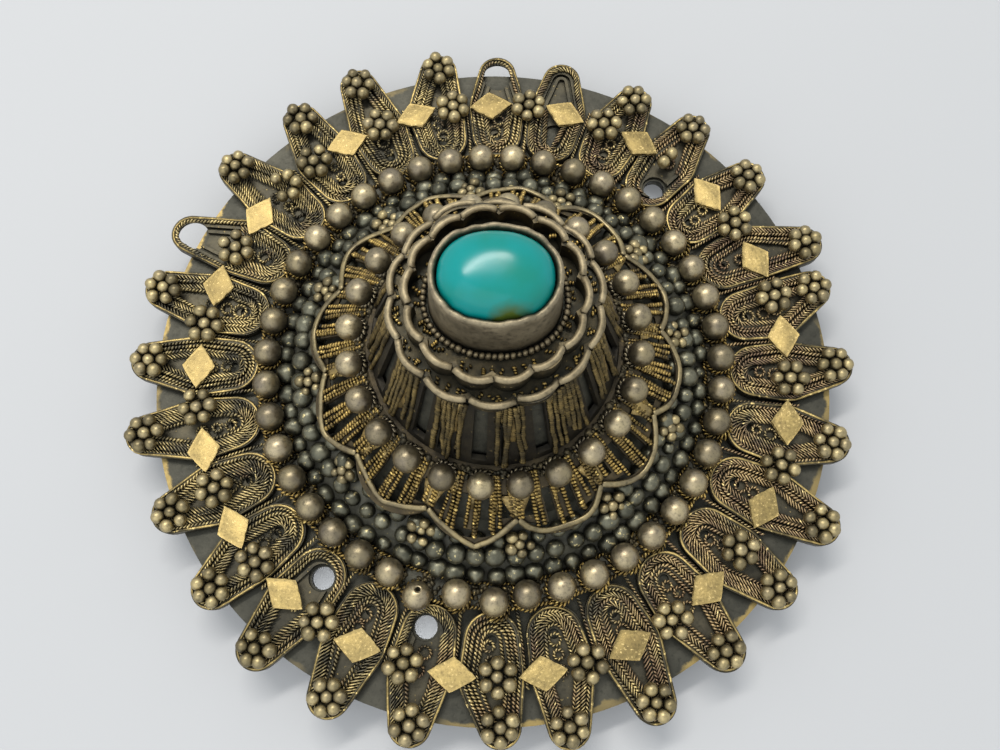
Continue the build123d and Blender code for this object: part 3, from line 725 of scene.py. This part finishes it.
tips, waists = [], []
for k, (drift, _) in enumerate(PETALS):
    if k not in BARE_PETALS:
        centre = tip_centre(k, PETAL_TOP + TIP_GRAIN_R)
        tips.append((flower_grains(centre, petal_angle(k) + drift, TIP_GRAIN_R), TIP_GRAIN_R))
for i, (angle, _) in enumerate(LOZENGES):
    gap = (LOZENGES[(i + 1) % len(LOZENGES)][0] - angle) % 360
    # two flowers where a lozenge is missing
    count = 2 if gap > WIDE_GAP * 360 / len(LOZENGES) else 1
    for j in range(count):
        at = angle + gap * (j + 1) / (count + 1)
        centre = polar(WAIST_RING_R, at, PETAL_TOP + JOINT_GAP + WAIST_GRAIN_R)
        lost = BROKEN.get(len(waists), ())
        waists.append((flower_grains(centre, at, WAIST_GRAIN_R, lost), WAIST_GRAIN_R))
grain_piece("tip_flowers", tips, ["tip_clusters"])
grain_piece("waist_flowers", waists, ["waist_clusters"])

# Lozenges
LOZENGE_GRID = 9
LOZENGE_CROWN = 0.105
LOZENGE_BEVEL = 0.035
DENT, WARP, TILT = 0.004, 0.02, 0.045
CORNER_SOFT, FOOT_SHARE = 0.05, 0.97


def add_lozenge(shape, angle, turn):
    """Plate with a low crown, soft corners, a slightly uneven face and a small tilt."""
    n = LOZENGE_GRID
    line = np.linspace(-1, 1, n)
    u, v = np.meshgrid(line, line, indexing="ij")
    # square grid turned to a lozenge
    x, y = (u + v) / 2, (u - v) / 2
    edge = np.maximum(abs(u), abs(v))
    dent = DENT * rng.normal(size=(n, n)) + WARP * rng.normal() * u * v
    crown = LOZENGE_EDGE + LOZENGE_CROWN * (1 - edge ** 2) + dent * (edge < 0.99)
    soft = 1 - CORNER_SOFT * np.maximum(abs(x), abs(y)) ** 8
    half_x, half_y = LOZENGE_HALF
    top = np.stack([x * half_x * soft, y * half_y * soft, crown], -1).reshape(-1, 3)
    border = grid_border(n, n)
    m = len(border)
    verts = np.vstack([top, top[border] * (FOOT_SHARE, FOOT_SHARE, 0.0)])
    low = n * n + np.arange(m)
    walls = np.stack([low, np.roll(low, -1), np.roll(border, -1), border], -1)
    tilt = rng.normal(size=2) * TILT
    verts[:, 2] += verts[:, 0] * tilt[0] + verts[:, 1] * tilt[1]
    verts = spun(spun(verts, turn) + (WAIST_RING_R, 0, 0), angle)
    verts[:, 2] += PETAL_TOP + JOINT_GAP
    shape.add(verts, [grid_quads(n, n)[:, ::-1], walls, low[None]], 0.15 + 0.6 * rng.random())


plates = Shape()
for angle, turn in LOZENGES:
    add_lozenge(plates, angle, turn)
piece = plates.make("gold_lozenges", gold_sheet, "bright_gold", replaces=["waist_lozenges"])
bevel = piece.modifiers.new("soft edges", "BEVEL")
bevel.width = LOZENGE_BEVEL * MM
bevel.segments = 2
bevel.limit_method = "ANGLE"
bevel.angle_limit = radians(35)

# Large beads on their seats
# Ring of wire under a bead: its radius, slip off the bead's middle and height
SEAT_R, SEAT_SLIP, SEAT_RISE = 1.04, 0.12, 0.3
# Loose end of wire: its radius, swing, height and half turn round the bead
LOOSE_R, LOOSE_SWING, LOOSE_RISE, LOOSE_ARC = 1.28, 0.16, 0.22, 70
beads, seats = Shape(), Shape()
for k in range(BEAD_COUNT):
    turn, out = MOVED_BEADS.get(k, (0.0, 0.0))
    angle = BEAD_PHASE + k * 360 / BEAD_COUNT + turn
    foot = polar(BEAD_RING_R + out, angle, LEDGE_TOP + JOINT_GAP)
    centre = foot + (0, 0, BEAD_RISE)
    sizes = bead_sizes(BEAD_R)
    if k == DRILLED_BEAD:
        outward, lean = polar(1.0, angle), radians(DRILL_TILT)
        axis = outward * sin(lean) + np.array([0, 0, cos(lean)])
        side = np.cross([0, 0, 1.0], outward)
        turned = np.stack([side, np.cross(axis, side), axis], -1) * BEAD_R
        drilled = drilled_ball(40, 18, DRILL_R / BEAD_R, DRILL_DEPTH / BEAD_R)
        stamp(beads, drilled, turned[None], centre[None], 0.75)
    else:
        stamp_bead(beads, centre, sizes)
    seat = foot + polar(SEAT_SLIP, angle + 60 * rng.normal())
    seat_ring = ring_path(seat[:2], SEAT_R, seat[2] + SEAT_RISE)
    rope(seats, seat_ring, *SEAT_WIRE, closed=True, wobble=0.04, lean=40)
    if k == DRILLED_BEAD:
        continue
    # an end of the seat's wire that has come loose on the petals' side
    arc = np.linspace(-LOOSE_ARC, LOOSE_ARC, 24) * (0.5 + 0.5 * rng.random()) + 20 * rng.normal()
    swing = LOOSE_SWING * np.sin(np.radians(arc * 2.2 + 200 * rng.random()))
    loose = foot + polar(LOOSE_R + swing, angle + arc)
    loose[:, 2] += LOOSE_RISE + 0.12 * rng.random()
    rope(seats, loose, *LOOSE_WIRE, wobble=0.06, lean=40)
beads.make("large_beads", bead_metal, "gilt", replaces=["outer_beads"])
seats.make("bead_seats", strand_metal, "gilt")

# Slope of the dome
# Radius, count and size of each row of studs
STUD_ROWS = ((17.6, 70, 0.8), (16.3, 64, 0.79), (15.0, 58, 0.74))
STUD_RISE = 0.22
# Radius and width of the wires beside the ledge
LEDGE_WIRES = ((20.35, 0.42), (18.35, 0.4))
# Crumbs on the ledge and round the tier: count, start and width of their band
LEDGE_CRUMBS, TIER_CRUMBS = (1800, 18.45, 1.9), (800, 10.25, 0.75)
LEDGE_CRUMB_R, TIER_CRUMB_R, CRUMB_RISE = 0.27, 0.24, 0.04


def slope_at(radius):
    """Height of the dome's slope at a radius, and its normal's outward and upward shares."""
    for (r0, h0), (r1, h1) in zip(SLOPE, SLOPE[1:]):
        if r1 <= radius <= r0:
            length = hypot(h1 - h0, r0 - r1)
            height = h0 + (h1 - h0) * ((r0 - radius) / (r0 - r1))
            return height, (h1 - h0) / length, (r0 - r1) / length


studs = Shape()
for row, (radius, count, size) in enumerate(STUD_ROWS):
    height, out, up = slope_at(radius)
    angles = (np.arange(count) + 0.5 * (row % 2)) * 360 / count + rng.normal(size=count) * 0.25
    places = polar(radius + out * size * STUD_RISE, angles, height + up * size * STUD_RISE)
    places += rng.normal(size=places.shape) * 0.08
    sizes = size * (1 + 0.09 * rng.normal(size=(count, 1))) * (1 + 0.06 * rng.normal(size=(count, 3)))
    stamp(studs, BALL_MID, scaled_frames(sizes, rng.random(count) * tau), places, rng.random(count))
studs.make("slope_studs", dark_grain, "dark_sheet")

edge_ring = Shape()
all_round = np.linspace(0, 360, 240, endpoint=False)
for radius, width in LEDGE_WIRES:
    rope(edge_ring, polar(radius, all_round, LEDGE_TOP + 0.1), width, 0.2, 0.34, closed=True,
         wobble=0.04)
edge_ring.make("ledge_wires", strand_metal, "old_gold")


def grit(shape, places, size):
    """Small crumbs of dirt and broken wire, a little flat."""
    n = len(places)
    sizes = size * (0.6 + 0.8 * rng.random((n, 1)))
    sizes = sizes * (1 + 0.25 * rng.normal(size=(n, 3)).clip(-1.5, 1.5)) * (1, 1, 0.7)
    stamp(shape, SMALL_GRAIN, scaled_frames(sizes, rng.random(n) * tau), places, rng.random(n))


def strewn(count, start, width):
    """Radii and directions of crumbs in a band."""
    return start + width * rng.random(count), 360 * rng.random(count)


crumbs = Shape()
grit(crumbs, polar(*strewn(*LEDGE_CRUMBS), LEDGE_TOP + CRUMB_RISE), LEDGE_CRUMB_R)
paint("dome", dark_sheet)

# Calyx
EDGE_SPAN = 14.7
BENT_LOBES = {
    # the front edge is crushed: bow of the wire, reach past the lobe, turn of its peak
    7: (1.15, -0.35, 1.0), 8: (1.02, 0.45, 1.5), 9: (2.8, -0.25, 0.5), 10: (1.9, 0.1, -1.0),
}
BORDER_HALF, BORDER_RISE = (0.26, 0.19), 0.22
SLAT_STEP = 7.5
# Places of a slat's strands about its middle, in a whole slat and in one beside a notch
WHOLE_SLAT, HALF_SLAT = (-1.5, 0.0, 1.5), (-0.7, -2.0)
COMB_HEIGHT, COMB_PITCH = 0.2, 0.3
# Radius where the strands start, their room at the edge, and how short some are
COMB_FOOT_R, EDGE_ROOM, SHORT_BY = 10.6, 0.4, 0.7
WEB_FOOT_R = 10.7
SLAT_WEB_T, NOTCH_WEB_T = 0.1, 0.12
# Half widths in degrees of the web between a slat's strands, from the beads outwards
SLAT_WEB = (2.2, 2.1, 1.8, 1.0)
CALYX_BEAD_R, CALYX_BEAD_PHASE = 1.08, 12.0
CALYX_BEAD_IN, CALYX_BEAD_RISE = 0.6, 1.25
CALYX_SEAT_R = 0.78
ROSETTE_R, ROSETTE_GRAIN_R, ROSETTE_STEP = 1.45, 0.46, 0.42


def scallop_r(tip, notch, count, off):
    """Radius of a scalloped edge at off degrees from the middle of a lobe."""
    half = radians(180 / count)
    chord, rise = notch * sin(half), tip - notch * cos(half)
    bow = (chord * chord + rise * rise) / (2 * rise)
    centre = tip - bow
    a = np.radians(off)
    return centre * np.cos(a) + np.sqrt(bow * bow - (centre * np.sin(a)) ** 2)


def calyx_point(radius, angle, rise):
    """Points raised off the calyx's upper face."""
    fall, run = CALYX_FALL
    length = hypot(fall, run)
    top, edge = SHOULDER_TOP + JOINT_GAP + CALYX_T, CALYX_EDGE_Z + CALYX_T
    points = polar(radius + fall / length * rise, angle)
    share = np.clip((radius - CALYX_IN_R) / run, 0, 1.2)
    points[..., 2] = top + (edge - top) * share + run / length * rise
    return points


def calyx_web(radii, angles, rise, rough, drop):
    """Thin uneven sheet on the calyx, from the radius and the angles of each row of points."""
    grid = np.array([calyx_point(np.full(len(a), r), a, rise) for r, a in zip(radii, angles)])
    sheet(webs, grid + rng.normal(size=grid.shape) * rough, drop)


combs, borders, webs = Shape(), Shape(), Shape()
for lobe in range(LOBE_COUNT):
    middle = NOTCH_PHASE + (lobe + 0.5) * LOBE_STEP
    up = cone_up(middle, *CALYX_FALL)
    # the edge wire bows, kinks or comes to a point, each lobe its own way
    off = np.linspace(-EDGE_SPAN, EDGE_SPAN, 44)
    usual = (1.3 + 0.9 * rng.random(), 0.12 * rng.normal(), 1.5 * rng.normal())
    bow, reach, peak = BENT_LOBES.get(lobe, usual)
    share = 1 - np.abs((off - peak) / np.where(off < peak, EDGE_SPAN + peak, EDGE_SPAN - peak)) ** bow
    radius = NOTCH_R - 0.2 + (LOBE_R - NOTCH_R + reach) * share
    tube(borders, calyx_point(radius, middle + off, BORDER_RISE), *BORDER_HALF, wobble=0.09, up=up,
         tone=0.2 + 0.5 * rng.random())
    for slat in range(-2, 3):
        steps = np.sign(slat) * np.array(HALF_SLAT) if abs(slat) == 2 else WHOLE_SLAT
        strands_at = [slat * SLAT_STEP + step for step in steps]
        for at in strands_at:
            end = scallop_r(LOBE_R - EDGE_ROOM, NOTCH_R - EDGE_ROOM, LOBE_COUNT, at) - 0.1
            end = end - SHORT_BY * rng.random() ** 2
            swing = np.linspace(0, 0.6 * rng.normal(), 24)
            path = calyx_point(np.linspace(COMB_FOOT_R, end, 24), middle + at + swing, 0.1)
            rope(combs, path, 0.38 + 0.1 * rng.random(), COMB_HEIGHT, COMB_PITCH, up=up, lean=70,
                 wobble=0.07, tone=(0.8, 0.25))
        # the strands of a slat run together near the beads
        radii = np.linspace(WEB_FOOT_R, 12.1 + 1.2 * rng.random(), 4)
        span = len(strands_at) / len(WHOLE_SLAT)
        angles = [middle + np.mean(strands_at) + np.linspace(-h, h, 4) * span for h in SLAT_WEB]
        calyx_web(radii, angles, 0.14, 0.02, -SLAT_WEB_T * up)
    # gold web where two lobes meet
    notch = middle + LOBE_STEP / 2
    reach_in, half = 11.6 + 0.4 * rng.random(), 4.6 + 1.2 * rng.random()
    angles = [notch + np.linspace(-h, h, 5) for h in np.linspace(half, 0.9, 5)]
    calyx_web(np.linspace(reach_in, NOTCH_R - 0.15, 5), angles, 0.16, 0.025,
              -NOTCH_WEB_T * cone_up(notch, *CALYX_FALL))
combs.make("calyx_combs", strand_metal, "old_gold")
borders.make("calyx_borders", rim_metal, "old_gold")
webs.make("calyx_webs", web_metal, "gilt")
grit(crumbs, calyx_point(*strewn(*TIER_CRUMBS), CRUMB_RISE), TIER_CRUMB_R)
crumbs.make("crumbs", crumb_metal, "dark_sheet")

calyx_beads = Shape()
for k in range(2 * LOBE_COUNT):
    angle = CALYX_BEAD_PHASE + LOBE_STEP / 2 * k
    centre = calyx_point(CALYX_IN_R + CALYX_BEAD_IN, angle, CALYX_BEAD_RISE)
    stamp_bead(calyx_beads, centre, bead_sizes(CALYX_BEAD_R))
    up, side = cone_up(angle, *CALYX_FALL), round_about(angle)
    t = np.linspace(0, tau, 20, endpoint=False)
    around = np.cos(t)[:, None] * side + np.sin(t)[:, None] * np.cross(side, up)
    rope(calyx_beads, centre - up + CALYX_SEAT_R * around, *CALYX_SEAT_WIRE, up=up, closed=True,
         template=BALL_LOW)
calyx_beads.make("calyx_pearls", bead_metal, "gilt", replaces=["calyx_beads"])

# rosettes on the dome's slope, one under each notch
rosettes = []
height, out, up = slope_at(NOTCH_R + ROSETTE_R)
for k in range(LOBE_COUNT):
    angle = NOTCH_PHASE + k * LOBE_STEP
    base = polar(NOTCH_R + ROSETTE_R + out * 0.5, angle, height + up * 0.5)
    flower = flower_grains(0.0, rng.random() * 360, ROSETTE_STEP, count=5)
    normal, side = cone_up(angle, out, up), round_about(angle)
    places = base + flower[:, :1] * side + flower[:, 1:2] * np.cross(side, normal)
    places = places + normal * (0.1 + 0.12 * rng.random((len(flower), 1)))
    rosettes.append((places, ROSETTE_GRAIN_R))
grain_piece("notch_flowers", rosettes, ["notch_clusters"], spread=0.12, push=0.08)
paint("calyx", calyx_sheet)

# Upper tier
BUNDLE_COUNT = 12
STRAND_STEP = 2.9
STRAND_RISE = 0.1
STRAND_HEIGHT, STRAND_PITCH = 0.2, 0.29
TIER_WEB_LOW, TIER_WEB_T = 14.2, 0.08


def tier_r(height):
    """Radius of the tier's strands at a height."""
    (foot_r, foot_z), (top_r, top_z) = TIER_FOOT, TIER_TOP
    return foot_r + (top_r - foot_r) * (height - foot_z) / (top_z - foot_z) + STRAND_RISE


strands, tier_webs = Shape(), Shape()
for b in range(BUNDLE_COUNT):
    middle = NOTCH_PHASE + b * 360 / BUNDLE_COUNT
    count = int(rng.integers(5, 8))
    width = STRAND_STEP * (count - 1) / 2
    for off in np.linspace(-width, width, count) + 0.3 * rng.normal(size=count):
        low = TIER_FOOT[1] + 0.1 + 3.2 * rng.random() ** 2
        height = np.linspace(low, TIER_TOP[1] - 0.2, 30)
        path = polar(tier_r(height), middle + off + np.linspace(1.6 * rng.normal(), 0, 30), height)
        rope(strands, path, 0.34 + 0.14 * rng.random(), STRAND_HEIGHT, STRAND_PITCH,
             up=cone_up(middle + off, *TIER_FALL), lean=60, wobble=0.07, tone=(0.0, 0.35))
    # sheet gold left between the strands, more of it near the collar
    heights = np.linspace(TIER_WEB_LOW + 2.5 * rng.random(), TIER_TOP[1] - 0.25, 6)
    halves = (0.25 + 0.75 * np.linspace(0, 1, 6) ** 0.7) * (width + 1.0)
    grid = [polar(np.full(7, tier_r(z)), middle + 1.2 * rng.normal() + np.linspace(-h, h, 7), z)
            for z, h in zip(heights, halves)]
    grid = np.array(grid) + rng.normal(size=(6, 7, 3)) * 0.02
    sheet(tier_webs, grid, -TIER_WEB_T * cone_up(middle, *TIER_FALL))
strands.make("tier_strands", tier_wire, "old_gold")
tier_webs.make("tier_webs", web_metal, "gilt")
paint("upper_tier", tier_sheet)

# Collars
# Reach, height and turn of the arcs on each wall
COLLAR_WALLS = ((7.75, 22.15, 0.0), (6.5, 24.0, 180 / ARC_COUNT))
COLLAR_WAVE, COLLAR_INSET = 0.33, 0.27
ARC_SPAN = (-11.9, 12.0)
COLLAR_HALF = (0.26, 0.22)
# Inner and outer radius and height of each floor, and how many bits of wire lie on it
COLLAR_FLOORS = ((5.05, 5.6, 22.25, 44), (6.75, 7.3, 21.85, 56))
collars, collar_bits = Shape(), Shape()
for tip, top, phase in COLLAR_WALLS:
    # bent wires along the top of the scalloped wall, each arc a wire of its own
    for k in range(ARC_COUNT):
        middle = phase + (k + 0.5) * 360 / ARC_COUNT
        off = np.linspace(*ARC_SPAN, 26)
        notch = tip - COLLAR_WAVE - COLLAR_INSET
        radius = scallop_r(tip - COLLAR_INSET, notch, ARC_COUNT, off) + 0.06 * rng.normal()
        path = polar(radius, middle + off + rng.normal() * 0.5)
        path[:, 2] = top + 0.04 * rng.normal() + 0.006 * off * rng.normal()
        tube(collars, path, *COLLAR_HALF, wobble=0.035)
for r_in, r_out, height, count in COLLAR_FLOORS:
    for k in range(count):
        angle = k * 360 / count + 2 * rng.normal()
        radius = np.linspace(r_in, r_out - 0.3 * rng.random(), 6)
        path = polar(radius, angle + np.linspace(0, 3 * rng.normal(), 6), height + 0.08)
        rope(collar_bits, path, *COLLAR_BIT_WIRE, lean=60, wobble=0.03, template=SMALL_GRAIN)
collar_bits.make("collar_floor_wires", strand_metal, "old_gold")
collars.make("collar_wires", collar_metal, "grey_silver")
# the walls and floors carry painted shade under the wires
paint("collar_outer", collar_wall)
paint("collar_inner", collar_wall)

# Setting and stone
N_OVAL = 96
STONE_POWER, CUP_POWER, FOOT_POWER = 2.2, 2.15, 2.1
# Share of the stone's outline and height, up to its girdle
STONE_SIDE = ((0.9, 22.85), (1.0, 23.0), (1.0, 26.4))
GIRDLE_Z, CROWN_RISE = 26.4, 2.05
CROWN_RINGS, CROWN_FULLNESS = 16, 0.62
CUP_PROFILE = (
    # out from the stone's edge, height
    (0.8, 22.25), (0.74, 22.6), (0.62, 24.5), (0.54, 26.2), (0.52, 26.9), (0.42, 27.18),
    (0.22, 27.18), (0.08, 27.0), (0.06, 26.6), (0.06, 25.0), (0.06, 22.25),
)
# The cup's wall is level up to one height and fully wavy from the other
LEVEL_Z, WAVY_Z = 24.5, 27.0
FOOT_OUT, FOOT_Z = 1.12, 22.55


def oval(share, out, power, height, n=N_OVAL):
    """Squarish oval: the stone's outline scaled and let out, at a height."""
    half_x, half_y = STONE_HALF[0] * share + out, STONE_HALF[1] * share + out
    t = np.linspace(0, tau, n, endpoint=False)
    c, s = np.cos(t), np.sin(t)
    x, y = np.sign(c) * abs(c) ** (2 / power), np.sign(s) * abs(s) ** (2 / power)
    return np.column_stack([half_x * x, half_y * y, np.full(n, height)])


cabochon = Shape()
rings = [oval(share, 0.0, STONE_POWER, z) for share, z in STONE_SIDE]
for a in np.linspace(0.12, 0.97, CROWN_RINGS) * pi / 2:
    rings.append(oval(cos(a) ** CROWN_FULLNESS, 0.0, STONE_POWER, GIRDLE_Z + CROWN_RISE * sin(a)))
loft_rings(cabochon, rings, capped=True)

g = Graph("turquoise_polished")
cloud = g.noise(260, 3.0, 0.5)
colour = g.ramp(cloud, (0.3, (0.004, 0.185, 0.145)), (0.5, (0.002, 0.21, 0.195)),
                (0.72, (0.002, 0.235, 0.235)))
# olive-brown matrix near the front edge, broken by noise
matrix_at = (0.9 * MM, -3.3 * MM, 26.7 * MM)
away = g.node("VectorMath", {0: g.where, 1: matrix_at}, operation="DISTANCE")["Value"]
away = g.maths("DIVIDE", g.maths("ADD", away, g.uneven(cloud, 3.0)), 2.0 * MM)
colour = g.mix(g.ramp(away, (0.5, 1), (0.85, 0)), colour, (0.055, 0.085, 0.012))
g.join(g.shader["Base Color"], colour)
g.shader["Roughness"].default_value = 0.2
g.shader["Specular IOR Level"].default_value = 0.27
cabochon.make("turquoise_cabochon", g.material, "turquoise", replaces=["stone"])

cup = Shape()
t = np.linspace(0, tau, N_OVAL, endpoint=False)
wave = 0.17 * np.sin(7 * t + 0.6) * np.sin(2 * t + 0.3)
wave = wave + 0.06 * np.sin(17 * t) + 0.05 * np.sin(23 * t + 1.0)
rings = [oval(1.0, out, CUP_POWER, z + wave * min(1.0, max(0.0, (z - LEVEL_Z) / (WAVY_Z - LEVEL_Z))))
         for out, z in CUP_PROFILE]
loft_rings(cup, rings, capped=False)
cup.make("stone_setting", cup_metal, "grey_silver", replaces=["bezel"])

foot = Shape()
rope(foot, oval(1.0, FOOT_OUT, FOOT_POWER, FOOT_Z, 120), *FOOT_WIRE, closed=True, lean=70,
     template=BALL_LOW)
foot.make("setting_rope", collar_metal, "gilt", replaces=["bezel_wire"])

# Back
paint("back_plate", plate_metal)
paint("back_pin", collar_metal)

# Floor, light and camera
g = Graph("pale_floor")
tint = g.ramp(g.noise(6.0, 2.0), (0.3, (0.442, 0.447, 0.454)), (0.7, (0.458, 0.462, 0.469)))
g.join(g.shader["Base Color"], tint)
g.shader["Roughness"].default_value = 0.7
bpy.ops.mesh.primitive_plane_add(size=3.0)
floor = bpy.context.object
floor.name = "floor"
floor.data.materials.append(g.material)

world = scene.world or bpy.data.worlds.new("world")
scene.world = world
world.use_nodes = True
sky = world.node_tree.nodes["Background"].inputs
sky["Color"].default_value = (0.93, 0.97, 1.0, 1)
sky["Strength"].default_value = 0.95


def area(name, place, target, size, watts, colour):
    """Soft rectangular light aimed at a point, in metres."""
    data = bpy.data.lights.new(name, "AREA")
    data.shape = "RECTANGLE"
    data.size, data.size_y = size
    data.energy = watts
    data.color = colour
    lamp = placed(name, data)
    lamp.location = place
    direction = Vector(target) - Vector(place)
    lamp.rotation_euler = direction.to_track_quat("-Z", "Y").to_euler()


area("key", place=(-0.065, 0.135, 0.34), target=(0, 0, 0.02), size=(0.22, 0.03), watts=0.8,
     colour=(1.0, 0.97, 0.92))
area("fill", place=(-0.18, -0.28, 0.35), target=(0, 0, 0), size=(0.55, 0.55), watts=0.76,
     colour=(0.95, 0.97, 1.0))

# the pale ground shows brightly through the plate's round holes, a little to their front
HOLE_FRONT, HOLE_LAMP_Z = 1.2, 2.8
for k in PLATE_HOLES:
    x, y = (hole_centre(k) - (0, HOLE_FRONT)) * MM
    area(f"hole_{k}", place=(x, y, HOLE_LAMP_Z * MM), target=(x, y, 0), size=(3 * MM, 3 * MM), watts=1.1e-4,
         colour=(0.95, 0.98, 1.0))

# The photograph's camera: 75 degrees above the floor, a little rolled, close to the brooch
FOCAL_PX, IMAGE_W, SENSOR_W = 900.0, 1000.0, 36.0
ELEVATION, ROLL, DISTANCE = radians(74.897), radians(2.335), 80.277
AIM = Vector((0.517, -0.148, 3.0))
camera_data = bpy.data.cameras.new("camera")
camera_data.sensor_width = SENSOR_W
camera_data.lens = SENSOR_W * FOCAL_PX / IMAGE_W
camera_data.clip_start = 0.001
camera = placed("camera", camera_data)
axes = Matrix.Rotation(pi / 2 - ELEVATION, 3, "X") @ Matrix.Rotation(ROLL, 3, "Z")
camera.matrix_world = Matrix.Translation((axes.col[2] * DISTANCE + AIM) * MM) @ axes.to_4x4()
scene.camera = camera
scene.view_settings.view_transform = "Standard"
